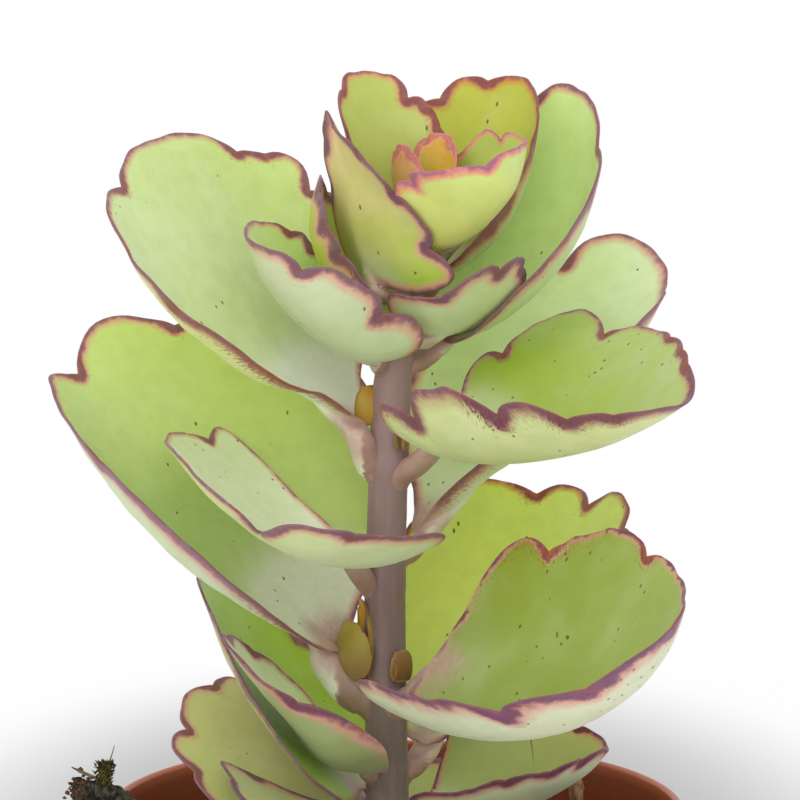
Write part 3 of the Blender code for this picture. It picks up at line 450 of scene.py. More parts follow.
def smoothPath(points, radii, count):
    # evenly spread samples of a Catmull-Rom curve through the points
    points = [Vector(point) for point in points]
    ends = [2 * points[0] - points[1], *points, 2 * points[-1] - points[-2]]
    places, sizes = [], []
    for n in range(count):
        share = n / (count - 1) * (len(points) - 1)
        i = min(int(share), len(points) - 2)
        t = share - i
        a, b, c, d = ends[i:i + 4]
        place = 0.5 * (2 * b + (c - a) * t + (2 * a - 5 * b + 4 * c - d) * t ** 2 + (3 * b - a - 3 * c + d) * t ** 3)
        places.append(place)
        sizes.append(radii[i] + t * (radii[i + 1] - radii[i]))
    return places, sizes


# The petiole is a flattened stalk that leaves the stem at a slant: half widths and half heights inside the
# stem, at its side, at mid-length, at the blade's foot and along the midrib under the blade, for a blade
# fullWidth wide. inward and drop place its first points in the stem, and keelReach its last ones under the
# blade, tuck below its middle. sag and lead are how far it hangs and leans back at mid-length.
petioleShape = dict(
    halfWidths=(0.7, 1.9, 2.4, 2.2, 2.9, 2.3, 1.6, 0.9, 0.3),
    halfHeights=(0.6, 1.3, 1.75, 1.7, 1.6, 1.2, 0.9, 0.6, 0.3),
    inward=(2.2, 1.5, 0.3), drop=(6.0, 2.9, 0.6), keelReach=(0.9, 0.77, 0.6, 0.42), tuck=0.15, sag=0.1, lead=0.05,
    leastGirth=0.45, fullWidth=45.0, levelTo=0.6, around=24, rings=56)


def petioleShell(leaf):
    # from inside the stem out and up to the sinus, then along under the blade as its midrib
    least = petioleShape["leastGirth"]
    girth = least + (1 - least) * leaf["width"] / petioleShape["fullWidth"]
    side, stemRadius = (float(value) for value in stemAt(leaf["node"]))
    azimuth = math.radians(leaf["azimuth"])
    ahead, up = Vector((math.cos(azimuth), math.sin(azimuth), 0.0)), Vector((0.0, 0.0, 1.0))
    node = Vector((side, 0.0, leaf["node"]))
    # three places low in the stem, so that it leaves the stem's skin gradually
    leaving = math.radians(leaf.get("leaveAt", leaf["azimuth"]))
    outward = Vector((math.cos(leaving), math.sin(leaving), 0.0))
    low = [node + (stemRadius - inward) * outward - girth * drop * up
           for inward, drop in zip(petioleShape["inward"], petioleShape["drop"])]
    stout = leaf.get("stout", 1.0)
    heights = [girth * high * (stout if 1 < i < 5 else 1.0) for i, high in enumerate(petioleShape["halfHeights"])]
    spots, acrosses = [], []
    for reach, high in zip((1.0, *petioleShape["keelReach"]), heights[4:]):
        row, _, _ = bladeSurface(leaf, np.array([180.0, 171.0, -171.0, 180.0]), np.array([1, 1, 1, 0.93]) * reach)
        centre, left, right, inner = (Vector(point) for point in row)
        across = (left - right).normalized()
        normal = (inner - centre).normalized().cross(across).normalized()
        under = high + (petioleShape["tuck"] if spots else 0.0)
        spots.append(centre - max(0.0, under) * normal)
        acrosses.append(across)
    gap = (spots[0] - low[2]).length
    along = (spots[1] - spots[0]).normalized()
    middle = 0.5 * (low[2] + spots[0]) - petioleShape["sag"] * gap * up - petioleShape["lead"] * gap * along
    path = [*low, middle, *spots]
    widths = [girth * wide for wide in petioleShape["halfWidths"]]
    places, halfHeights = smoothPath(path, heights, petioleShape["rings"])
    _, halfWidths = smoothPath(path, widths, petioleShape["rings"])
    level = up.cross(outward)
    rings = []
    for i, (place, high, wide) in enumerate(zip(places, halfHeights, halfWidths)):
        forward = (places[min(i + 1, len(places) - 1)] - places[max(i - 1, 0)]).normalized()
        share = min(1.0, i / (petioleShape["levelTo"] * len(places)))
        flat = (1 - share) * level + share * (acrosses[0] if acrosses[0].dot(level) > 0 else -acrosses[0])
        flat = (flat - flat.dot(forward) * forward).normalized()
        over = forward.cross(flat)
        turns = [2 * math.pi * k / petioleShape["around"] for k in range(petioleShape["around"])]
        rings.append([place + wide * math.cos(t) * flat + high * math.sin(t) * over for t in turns])
    return ringShell(rings, (places[0], places[-1]))


def bladeShell(leaf, seed):
    # two faces that meet at a thin rounded margin, with the numbers that the leaf's finish reads at each point
    spots = [at for at, _ in notchPairs(leaf)]
    angles = set(np.arange(-180.0, 179.9, leaf.get("step", marginShape["angleStep"])).round(3))
    for spot in spots:
        angles |= {round(wrapAngle(spot + step), 3) for step in marginShape["notchSteps"]}
    angles = np.array(sorted(angles))
    mean = 0.5 * math.sqrt(leaf["length"] * leaf["width"])
    thin, wavy, fleshy = (min(1.0, mean / bladeShape[key]) for key in ("fullRim", "fullWave", "fullFlesh"))
    rim = np.array(bladeShape["rimRings"]) * thin
    inside = 1 - rim[0] / mean
    reaches = np.concatenate([np.linspace(0.0, inside, bladeShape["innerRings"] + 2)[1:-1], 1 - rim / mean])
    angleGrid, reachGrid = np.meshgrid(angles, reaches, indexing="ij")
    middle, along, across = bladeSurface(leaf, angleGrid, reachGrid)
    # how far each point lies from the margin, and how far round it
    ends = np.stack([along[:, -1], across[:, -1]], 1)
    run = np.concatenate([[0.0], np.cumsum(np.linalg.norm(np.diff(ends, axis=0), axis=1))])
    step = np.roll(ends, -1, axis=0) - ends
    spot = np.stack([along, across], -1)
    away, runAt = np.full(along.shape, 1e9), np.zeros(along.shape)
    for start, move, runHere in zip(ends, step, run):
        share = np.clip(((spot - start) @ move) / max(move @ move, 1e-9), 0, 1)
        distance = np.linalg.norm(spot - start - share[..., None] * move, axis=-1)
        closer = distance < away
        away = np.where(closer, distance, away)
        runAt = np.where(closer, runHere + share * np.linalg.norm(move), runAt)
    # the same distance evened out inside, so that no crease runs inwards from a lobe's corner
    soft, inner = away.copy(), smoothStep(away, *bladeShape["evenFrom"])
    for _ in range(bladeShape["evenRounds"]):
        soft = soft + inner * (0.25 * (np.roll(soft, 1, axis=0) + np.roll(soft, -1, axis=0)) - 0.5 * soft)
    notchNear = np.zeros(along.shape)
    for at in spots:
        tipAlong, tipAcross = bladeOutline(leaf, np.array([float(at)]))
        fromNotch = np.hypot(along - tipAlong[0], across - tipAcross[0])
        notchNear = np.maximum(notchNear, np.exp(-((fromNotch / bladeShape["notchReach"]) ** 2)))
    # waves along the margin and a low unevenness inside, both along the normal
    rng = np.random.default_rng(seed)
    wave = sum(size * np.sin(runAt / length + rng.uniform(0, fullTurn)) for size, length in bladeShape["waves"])
    ruffle = bladeShape["ruffle"] * wave + bladeShape["pinch"] * notchNear
    ruffle = ruffle * wavy * np.exp(-soft / bladeShape["ruffleRun"])
    outStep = np.gradient(middle, reaches, axis=1)
    normals = np.cross(outStep, np.roll(middle, -1, axis=0) - np.roll(middle, 1, axis=0))
    normals = normals / np.maximum(np.linalg.norm(normals, axis=-1, keepdims=True), 1e-12)
    low = np.array([[noise.noise(Vector(point) / bladeShape["swellRun"]) for point in row] for row in middle])
    low = bladeShape["swell"] * wavy * low * smoothStep(soft, 0.0, bladeShape["swellFrom"])
    middle = middle + (ruffle + low)[..., None] * normals
    # half the thickness: rounded at the margin, thicker inside, with the midrib's groove and keel
    half = np.sqrt(np.maximum(0.0, 1 - (1 - np.minimum(1.0, away / (bladeShape["edgeRun"] * thin))) ** 2))
    half = bladeShape["edge"] / 2 * thin * half
    half[:, -1] = 0.0
    thicker = (bladeShape["body"] - bladeShape["edge"]) / 2 * fleshy
    half = half + thicker * smoothStep(soft, 0.2, bladeShape["fleshRun"])
    alongShare = along / leaf["length"]
    rib = np.exp(-((across / bladeShape["ribHalf"]) ** 2)) * (1 - smoothStep(alongShare, *bladeShape["ribEnd"]))
    rib = rib * smoothStep(away, 0.0, bladeShape["midribFlat"]) * fleshy
    upper = middle + (half - bladeShape["groove"] * rib)[..., None] * normals
    lower = middle - (half + bladeShape["keel"] * rib)[..., None] * normals

    turns, rings = along.shape
    points = np.concatenate([upper.reshape(-1, 3), lower[:, :-1].reshape(-1, 3),
                             upper[:, 0].mean(0)[None], lower[:, 0].mean(0)[None]])
    topAt = np.arange(turns * rings).reshape(turns, rings)
    lowAt = turns * rings + np.arange(turns * (rings - 1)).reshape(turns, rings - 1)
    lowAt = np.concatenate([lowAt, topAt[:, -1:]], axis=1)
    topPole, lowPole = len(points) - 2, len(points) - 1
    topNext, lowNext = np.roll(topAt, -1, axis=0), np.roll(lowAt, -1, axis=0)
    quads = [np.stack([topAt[:, :-1], topAt[:, 1:], topNext[:, 1:], topNext[:, :-1]], -1),
             np.stack([lowAt[:, :-1], lowNext[:, :-1], lowNext[:, 1:], lowAt[:, 1:]], -1)]
    faces = [tuple(face) for part in quads for face in part.reshape(-1, 4).tolist()]
    faces += [(topPole, int(a), int(b)) for a, b in zip(topAt[:, 0], topNext[:, 0])]
    faces += [(lowPole, int(b), int(a)) for a, b in zip(lowAt[:, 0], lowNext[:, 0])]

    def both(values, heart):
        # the same numbers for the upper and the lower face, and for the two points at the blade's heart
        values = np.asarray(values, dtype=float)
        return np.concatenate([values.reshape(-1), values[:, :-1].reshape(-1), [heart] * 2])

    centre = leaf["length"] / 2 * (1 - leaf["sinus"])
    face = np.ones_like(along)
    face[:, -1] = 0.0
    face = np.concatenate([face.reshape(-1), -np.ones(turns * (rings - 1)), [1.0, -1.0]])
    sinusAlong, _ = bladeOutline(leaf, np.array([180.0]))
    fromSinus = np.hypot(along - sinusAlong[0], across)
    numbers = dict(
        rim=np.stack([both(away, away[:, 0].mean()), both(runAt, 0.0), both(notchNear, 0.0)], 1),
        place=np.stack([both(alongShare, centre / leaf["length"]), both(across / (leaf["width"] / 2), 0.0), face], 1),
        stalk=both(np.exp(-((fromSinus / (bladeShape["stalkReach"] * leaf["length"])) ** 2)), 0.0),
        turn=both(angleGrid, 0.0))
    return points, faces, numbers


def addWear(numbers, look):
    # how rusty and how wide the margin is at each point: soft spans (angle, spread, amount) round the blade
    turn = numbers.pop("turn")
    numbers["wear"] = np.zeros((len(turn), 3))
    for column, key in enumerate(("fringes", "bands")):
        for angle, spread, amount in look[key]:
            numbers["wear"][:, column] += amount * np.exp(-((wrapAngle(turn - angle) / spread) ** 2))


def makeLeaf(name, leaf, look, material, seed):
    points, faces, numbers = bladeShell(leaf, seed)
    stalkPoints, stalkFaces = petioleShell(leaf)
    count = len(stalkPoints)
    sinus, _, _ = bladeSurface(leaf, np.array([180.0]), np.array([1.0]))
    _, ahead = leafFoot(leaf)
    before = (stalkPoints - sinus[0]) @ ahead < 0
    reachOut = np.linalg.norm(stalkPoints - sinus[0], axis=1)
    # the petiole's own numbers: far from any margin, and from 1 at the blade to 2 at the stem
    onStalk = dict(
        rim=np.stack([np.full(count, 9.0), np.zeros(count), np.zeros(count)], 1),
        place=np.stack([np.where(before, -0.05, 0.1), np.zeros(count), np.where(before, 0.0, -1.0)], 1),
        stalk=np.where(before, 1.0 + np.clip(reachOut / max(4.0, 1.2 * leaf["petiole"]), 0, 1),
                       np.exp(-((reachOut / (bladeShape["stalkReach"] * leaf["length"])) ** 2))),
        turn=np.full(count, 180.0))
    numbers = {key: np.concatenate([numbers[key], onStalk[key]]) for key in numbers}
    addWear(numbers, look)
    piece = meshPiece(name, points, faces, material)
    stalk = meshPiece(name + "Petiole", stalkPoints, stalkFaces, None)
    mesh = combineShells(piece, stalk, "UNION", "MANIFOLD", 0.7)
    # each point takes the numbers of the nearest one before the merge, and a new point is on the seam
    source = np.concatenate([points, stalkPoints])
    finder = kdtree.KDTree(len(source))
    for i, point in enumerate(source * mm):
        finder.insert(point, i)
    finder.balance()
    nearest, seam = np.zeros(len(mesh.vertices), int), []
    for vertex in mesh.vertices:
        _, nearest[vertex.index], distance = finder.find(vertex.co)
        if distance > 0.002 * mm:
            seam.append(vertex.index)
    softenSeam(mesh, seam)
    for key, values in numbers.items():
        writeAttribute(mesh, key, values[nearest])
    return piece


def combineShells(piece, other, operation, solver, leastKept=0.0):
    # a boolean of two closed shells; where it keeps too small a share of the points, they are joined as they are
    modifier = piece.modifiers.new(operation, "BOOLEAN")
    modifier.operation, modifier.solver, modifier.object = operation, solver, other
    bpy.context.view_layer.update()
    mesh = bpy.data.meshes.new_from_object(piece.evaluated_get(bpy.context.evaluated_depsgraph_get()))
    piece.modifiers.clear()
    if len(mesh.vertices) < leastKept * len(piece.data.vertices):
        print("  joined as they are:", piece.name)
        shape = bmesh.new()
        shape.from_mesh(piece.data)
        shape.from_mesh(other.data)
        shape.to_mesh(mesh)
        shape.free()
    material = piece.data.materials[0]
    piece.data = mesh
    mesh.materials.clear()
    mesh.materials.append(material)
    mesh.polygons.foreach_set("use_smooth", [True] * len(mesh.polygons))
    bpy.data.objects.remove(other, do_unlink=True)
    return mesh


fillet = dict(reach=3, rounds=10, factor=0.5)


def softenSeam(mesh, seam):
    # a soft fillet where the shells met: the seam's points and those beside it are relaxed
    if not seam:
        return
    shape = bmesh.new()
    shape.from_mesh(mesh)
    shape.verts.ensure_lookup_table()
    near = {shape.verts[i] for i in seam}
    for _ in range(fillet["reach"]):
        near |= {edge.other_vert(vertex) for vertex in near for edge in vertex.link_edges}
    for _ in range(fillet["rounds"]):
        bmesh.ops.smooth_vert(shape, verts=list(near), factor=fillet["factor"], use_axis_x=True, use_axis_y=True,
                              use_axis_z=True)
    shape.to_mesh(mesh)
    shape.free()


# Succulent leaf skin: a thick smooth cuticle with a wax bloom over wet green flesh, so it scatters light
# inside and has only a broad soft gloss. leafGreens names its greens and the buds' browns.
leafGreens = dict(
    milk="#e2eec6", pale="#cdea92", mint="#d6ee9a", cream="#d6d6bc", celadon="#c9d8aa", lime="#c6d466",
    citron="#bcc64a", khaki="#c9d088", straw="#ecc9a0", mustard="#b9b435", grass="#afbc60", fern="#abbe72",
    moss="#93a436", sage="#a3b276", deep="#93a408", amber="#e8a040", coral="#e8a08a", gold="#d8c432",
    butter="#e0e49e", bronze="#9a7654", umber="#795625", ochre="#b08714", lemon="#d4e26c", vivid="#a2c408")
skinTones = dict(
    deeper="#7f9a20", paler="#d9e6bc", wax="#f2f4ea", waxyLine="#b99aa2", rustyEdge="#7a3c38", rustDark="#5a3328",
    rustPale="#b0603a", fleck="#5c4c14", stalkDark="#b9938c", stalkPale="#cfafa6")
# inner and outer are the greens of the two faces at the foot, the tip, the right and the left, or one for all,
# and across is how much the sides count. edge, line and blush are the margin from its very edge inwards, and
# rim and band are its width in mm on the inner and the outer face. It wanders by wavy, and blot widens it at
# the notches, where pepper dots it with rust. rusty is how much of the line is rust coloured, and under is the
# rust on the outer face. fringes (rusty streaks) and bands (a wider margin, mm) are spans round the blade:
# angle, spread, amount. bloom is the whitish wax near the foot and waxReach where on the way there it is full,
# foot the petiole's colour at the stem, freckle the share of dark flecks and lean their slant.
plainLook = dict(
    inner=("pale", "lime", "lime", "pale"), outer=("celadon", "celadon", "cream", "celadon"), across=0.38,
    edge="#7d5c6e", line="#9c6a76", rust="#a8553e", rusty=0.6, blush="#dc9f92", under="#7c4652", rim=0.42,
    band=0.64, wavy=0.34, blot=1.4, pepper=0.4, fringes=[], bands=[], bloom=0.4, waxReach=0.6, foot="#a27b73",
    freckle=0.3, lean=30.0)
# Besides each leaf's own colour, the greens chosen for its zones hold painted light: deep saturated greens where the
# leaf lies in shade and light comes through it from behind, and pale whitish greens where light falls on its wax.
leafLooks = {
    "leaf_1_back_left": dict(inner=("khaki", "khaki", "straw", "khaki"),
        outer=("celadon", "khaki", "celadon", "celadon"), line="#996362", freckle=0.2),
    "leaf_1_front_right": dict(outer=("celadon", "khaki", "celadon", "celadon")),
    "leaf_2_front_left": dict(inner="khaki", outer=("grass", "celadon", "grass", "grass"), line="#805862",
        edge="#60465d", rim=0.63),
    "leaf_2_back_right": dict(inner="grass", outer=("celadon", "khaki", "celadon", "celadon")),
    "leaf_3_back_left": dict(inner="vivid", outer=("sage", "grass", "sage", "grass"), line="#865c60",
        blush="#a98a3c", rim=0.48, bloom=0.1),
    "leaf_3_front_right": dict(inner=("fern", "khaki", "celadon", "khaki"), outer="milk", line="#8a5064",
        edge="#62384e", band=0.79),
    "leaf_4_front_left": dict(inner=("mint", "milk", "milk", "mint"), outer="sage", line="#955b63", edge="#6c465c",
        bands=[(132, 26, -1.7)], bloom=0.15),
    "leaf_4_back_right": dict(inner="lemon", outer=("butter", "butter", "straw", "butter"), line="#a0594e",
        edge="#77494f", blush="#c58a4c", freckle=0.8, pepper=0.9),
    # leaf_5_back_left's petiole is browner and darker at the stem as painted shade, for it lies in shadow.
    "leaf_5_back_left": dict(inner=("pale", "pale", "lime", "celadon"), outer="celadon", line="#975f63", rim=0.5,
        fringes=[(135, 22, 0.8)], bands=[(88, 50, 0.5)], bloom=0.9, pepper=0.5, across=0.6, waxReach=0.22,
        foot="#80664f"),
    "leaf_5_front_right": dict(inner=("moss", "fern", "fern", "moss"), outer=("milk", "cream", "milk", "cream"),
        line="#8a5468", edge="#6e4862", band=0.79, freckle=1.2, fringes=[(125, 35, 0.5), (58, 10, 0.4)],
        bands=[(-60, 35, 0.4)], bloom=0.12, pepper=0.9, under="#8a5070", rusty=0.45, wavy=0.85),
    "leaf_6_front_left": dict(inner="milk", outer=("milk", "lime", "pale", "cream"), line="#956164", band=0.58),
    "leaf_6_back_right": dict(inner=("mint", "milk", "milk", "mint"),
        outer=("celadon", "pale", "celadon", "celadon"), line="#9b6a6b", rim=0.63, band=0.84,
        fringes=[(-150, 22, 0.6), (-115, 12, 0.3)]),
    # leaf_7_back_left's strong bloom is partly its whitish wax and partly painted light over its foot, which lies in
    # shade under the leaves above.
    "leaf_7_back_left": dict(inner=("milk", "pale", "lime", "milk"), outer="butter", line="#956262",
        blush="#d09a86", bloom=0.95, fringes=[(122, 34, 1.0)], bands=[(78, 14, 0.4)], pepper=0.5, across=0.55,
        waxReach=0.22, under="#8a4a34"),
    "leaf_7_front_right": dict(inner=("vivid", "celadon", "deep", "grass"),
        outer=("khaki", "butter", "milk", "butter"), line="#96606a", edge="#75505e", rusty=0.45, blush="#bfa07c",
        freckle=0.9, fringes=[(-92, 6, 0.9), (-60, 30, 0.35)], bands=[(0, 22, 0.8)], pepper=0.8),
    "leaf_8_front_left": dict(inner="mint", outer=("celadon", "cream", "celadon", "celadon"), line="#8f6568",
        band=0.63),
    "leaf_8_back_right": dict(inner="mint", outer=("celadon", "pale", "celadon", "celadon"), line="#996366",
        rim=0.48),
    "leaf_9_back_left": dict(inner="lime", outer="citron", line="#865d65", band=0.84),
    "leaf_9_front_right": dict(inner="lime", outer=("celadon", "khaki", "celadon", "celadon"), line="#94656c",
        band=0.79),
    "leaf_10_front_left": dict(inner="lime", outer=("vivid", "straw", "straw", "khaki"), across=0.25,
        line="#956565", edge="#705167", band=0.63),
    "leaf_10_back_right": dict(inner=("citron", "mustard", "lime", "citron"),
        outer=("celadon", "khaki", "celadon", "khaki"), line="#a35c53", edge="#814951", blush="#cf8a44", rim=0.48,
        rusty=0.95),
    "leaf_11_back_left": dict(inner=("grass", "lime", "khaki", "lime"),
        outer=("celadon", "khaki", "khaki", "celadon"), line="#ac6a63", edge="#8b535e", blush="#dda276",
        rusty=0.95),
    "leaf_11_front_right": dict(inner=("grass", "lime", "grass", "grass"), outer=("gold", "pale", "khaki", "khaki"),
        pepper=0.0, freckle=0.0, rim=0.34, line="#d07c80", edge="#9a6080", blush="#e08a7c", band=0.35, blot=0.3,
        rusty=0.2),
}


def leafSkin(name, look):
    material, add = newMaterial(name + "Skin", {
        "Roughness": 0.45, "IOR": 1.42, "Specular IOR Level": 0.35, "Sheen Weight": 0.08, "Sheen Roughness": 0.4,
        "Subsurface Weight": 0.3, "Subsurface Radius": (1.0, 1.0, 0.4), "Subsurface Scale": 0.0011})
    spot = add("TexCoord")["Object"]
    rim, place, wear = (add("SeparateXYZ", {0: add("Attribute", attribute_name=key)["Vector"]})
                        for key in ("rim", "place", "wear"))
    stalk = add("Attribute", attribute_name="stalk")["Fac"]
    # soft clouds of 9 mm, blotches of 3 mm and a fine mottle of 1 mm
    cloudy, blotchy, fine = (add("TexNoise", {"Vector": spot, "Scale": scale, "Detail": detail})["Fac"]
                             for scale, detail in ((110.0, 2.0), (340.0, 2.0), (1000.0, 3.0)))
    # the greens of the outer and the inner face, which drift with the clouds
    drift = add("MapRange", {0: cloudy, 1: 0.25, 2: 0.75, 3: -0.16, 4: 0.16})[0]
    toTip = add("Math", {0: place[0], 1: drift}, operation="ADD", use_clamp=True)[0]
    toLeft = add("MapRange", {0: place[1], 1: -1.0, 2: 1.0})[0]
    toLeft = add("Math", {0: toLeft, 1: drift}, operation="SUBTRACT", use_clamp=True)[0]
    faces = []
    for colours in (look["outer"], look["inner"]):
        colours = [colours] * 4 if isinstance(colours, str) else colours
        foot, tip, right, left = (leafGreens[colour] for colour in colours)
        lengthwise = add("Mix", {0: toTip, 6: foot, 7: tip}, data_type="RGBA")[2]
        sideways = add("Mix", {0: toLeft, 6: right, 7: left}, data_type="RGBA")[2]
        faces.append(add("Mix", {0: look["across"], 6: lengthwise, 7: sideways}, data_type="RGBA")[2])
    above = add("MapRange", {0: place[2], 1: -0.2, 2: 0.2})[0]
    flesh = add("Mix", {0: above, 6: faces[0], 7: faces[1]}, data_type="RGBA")[2]
    # deeper in blotches, paler in clouds, and whitish with wax near the foot, in fine grains
    deeper = add("MapRange", {0: blotchy, 1: 0.4, 2: 0.7, 4: 0.1})[0]
    paler = add("MapRange", {0: cloudy, 1: 0.5, 2: 0.78, 4: 0.13})[0]
    waxy = add("MapRange", {0: stalk, 1: 0.02, 2: look["waxReach"], 4: look["bloom"]},
               interpolation_type="SMOOTHSTEP")[0]
    frosted = add("MapRange", {0: fine, 1: 0.3, 2: 0.7, 3: 0.72})[0]
    waxy = add("Math", {0: waxy, 1: frosted}, operation="MULTIPLY")[0]
    for share, tone in ((deeper, "deeper"), (paler, "paler"), (waxy, "wax")):
        flesh = add("Mix", {0: share, 6: flesh, 7: skinTones[tone]}, data_type="RGBA")[2]
    # how far in from the margin, in margin widths; the notches' blots and the wear bring it nearer
    wander = add("MapRange", {0: blotchy, 1: 0.2, 2: 0.8, 3: -look["wavy"], 4: look["wavy"]})[0]
    speckle = add("MapRange", {0: fine, 1: 0.25, 2: 0.75, 3: -0.12, 4: 0.12})[0]
    blot = add("Math", {0: rim[2], 1: look["blot"]}, operation="MULTIPLY")[0]
    inward = rim[0]
    for shift, operation in ((wander, "ADD"), (speckle, "ADD"), (blot, "SUBTRACT"), (wear[1], "SUBTRACT")):
        inward = add("Math", {0: inward, 1: shift}, operation=operation)[0]
    width = add("MapRange", {0: above, 3: look["band"], 4: look["rim"]})[0]
    inward = add("Math", {0: inward, 1: width}, operation="DIVIDE")[0]
    # the line is mauve here and rusty there, in stretches and in grains, and pales with wax
    rusty = add("MapRange", {0: blotchy, 1: 0.47, 2: 0.66, 4: look["rusty"]}, interpolation_type="SMOOTHSTEP")[0]
    grains = add("MapRange", {0: fine, 1: 0.3, 2: 0.6, 3: 0.4})[0]
    rusty = add("Math", {0: rusty, 1: grains}, operation="MULTIPLY")[0]
    pallid = add("MapRange", {0: fine, 1: 0.5, 2: 0.68, 4: 0.5})[0]
    line = add("Mix", {0: rusty, 6: look["line"], 7: look["rust"]}, data_type="RGBA")[2]
    line = add("Mix", {0: pallid, 6: line, 7: skinTones["waxyLine"]}, data_type="RGBA")[2]
    edge = add("Mix", {0: rusty, 6: look["edge"], 7: skinTones["rustyEdge"]}, data_type="RGBA")[2]
    # from the widths in where each starts to where it is full
    for start, full, most, tone in ((3.8, 1.2, 0.85, look["blush"]), (1.9, 0.5, 0.95, line), (0.9, 0.0, 0.75, edge)):
        share = add("MapRange", {0: inward, 1: start, 2: full, 4: most}, interpolation_type="SMOOTHSTEP")[0]
        flesh = add("Mix", {0: share, 6: flesh, 7: tone}, data_type="RGBA")[2]
    # rusty pepper and streaks 0.5 mm apart that run 3 mm in from the margin, thickest at the notches
    roundRim, intoBlade = (add("Math", {0: rim[n], 1: scale}, operation="MULTIPLY")[0]
                           for n, scale in ((1, 2.4), (0, 1.1)))
    streakAt = add("CombineXYZ", {0: roundRim, 1: intoBlade, 2: place[2]})[0]
    streaks = add("TexNoise", {"Vector": streakAt, "Scale": 1.0, "Detail": 4.0, "Roughness": 0.7})["Fac"]
    fade = add("MapRange", {0: rim[0], 1: 0.2, 2: 5.5, 3: 0.1, 4: -0.2})[0]
    worn = add("Math", {0: rim[2], 1: look["pepper"], 2: wear[0]}, operation="MULTIPLY_ADD", use_clamp=True)[0]
    streaky = add("Math", {0: streaks, 1: fade}, operation="ADD")[0]
    streaky = add("MapRange", {0: streaky, 1: 0.5, 2: 0.57}, interpolation_type="SMOOTHSTEP")[0]
    streaky = add("Math", {0: streaky, 1: worn}, operation="MULTIPLY", use_clamp=True)[0]
    grainy = add("MapRange", {0: fine, 1: 0.35, 2: 0.65, 3: 0.45})[0]
    rust = add("Mix", {0: grainy, 6: skinTones["rustDark"], 7: skinTones["rustPale"]}, data_type="RGBA")[2]
    rust = add("Mix", {0: above, 6: look["under"], 7: rust}, data_type="RGBA")[2]
    flesh = add("Mix", {0: streaky, 6: flesh, 7: rust}, data_type="RGBA")[2]
    # dark flecks, 0.25 by 0.6 mm, in loose clusters
    leaned = add("Mapping", {"Vector": spot, "Rotation": (0.3, math.radians(look["lean"]), 0.0),
                             "Scale": (1050.0, 1050.0, 480.0)})[0]
    cells = add("TexVoronoi", {"Vector": leaned, "Scale": 1.0})
    fleck = add("MapRange", {0: cells["Distance"], 1: 0.3, 2: 0.16, 4: 0.85}, interpolation_type="SMOOTHSTEP")[0]
    lot = add("SeparateColor", {0: cells["Color"]})[0]
    crowd = add("MapRange", {0: cloudy, 1: 0.46, 2: 0.68, 3: 0.004, 4: 0.24 * look["freckle"]},
                interpolation_type="SMOOTHSTEP")[0]
    chosen = add("Math", {0: lot, 1: crowd}, operation="LESS_THAN")[0]
    fleck = add("Math", {0: fleck, 1: chosen}, operation="MULTIPLY")[0]
    flesh = add("Mix", {0: fleck, 6: flesh, 7: skinTones["fleck"]}, data_type="RGBA")[2]
    # the petiole: a dusty pink stalk that fades into the blade's foot
    stalky = add("MapRange", {0: cloudy, 1: 0.3, 2: 0.7, 3: -0.14, 4: 0.14})[0]
    stalky = add("Math", {0: stalk, 1: stalky}, operation="ADD")[0]
    stalky = add("MapRange", {0: stalky, 1: 0.64, 2: 1.04, 4: 0.97}, interpolation_type="SMOOTHSTEP")[0]
    dusty = add("Mix", {0: grainy, 6: skinTones["stalkDark"], 7: skinTones["stalkPale"]}, data_type="RGBA")[2]
    nearStem = add("MapRange", {0: stalk, 1: 1.2, 2: 1.8, 4: 0.85})[0]
    dusty = add("Mix", {0: nearStem, 6: dusty, 7: look["foot"]}, data_type="RGBA")[2]
    flesh = add("Mix", {0: stalky, 6: flesh, 7: dusty}, data_type="RGBA")[2]
    dressSurface(material, flesh, fine, 0.2, 0.0002)
    return material


seeds = dict(leaves=10, tip=60, buds=70)  # the first seed of each kind of blade
for count, (name, leaf) in enumerate(leaves.items()):
    look = dict(plainLook, **leafLooks[name])
    blade = makeLeaf(name + "Blade", leaf, look, leafSkin(name, look), seeds["leaves"] + count)
    finishPiece(blade, "leaf_skin", name)
print("leaves:", len(leaves))

# The stem is a plain tube with low swellings where the leaf pairs sit, and a fine scar line scarAt above each,
# all softer from youngFrom up. tip are the shares of its radius at its rounded top.
stemLook = dict(bottom=60.0, top=169.0, rings=330, around=64, swell=0.16, swellReach=1.8, scar=0.06, scarAt=1.9,
                scarReach=0.3, youngFrom=148.0, young=0.4, tip=(0.95, 0.85, 0.65, 0.35), flute=0.02, lumps=0.02,
                lowColour="#7c7166", midColour="#7b6463", topColour="#9e8281", dust="#a08785",
                colourAt=(0.072, 0.108, 0.15))


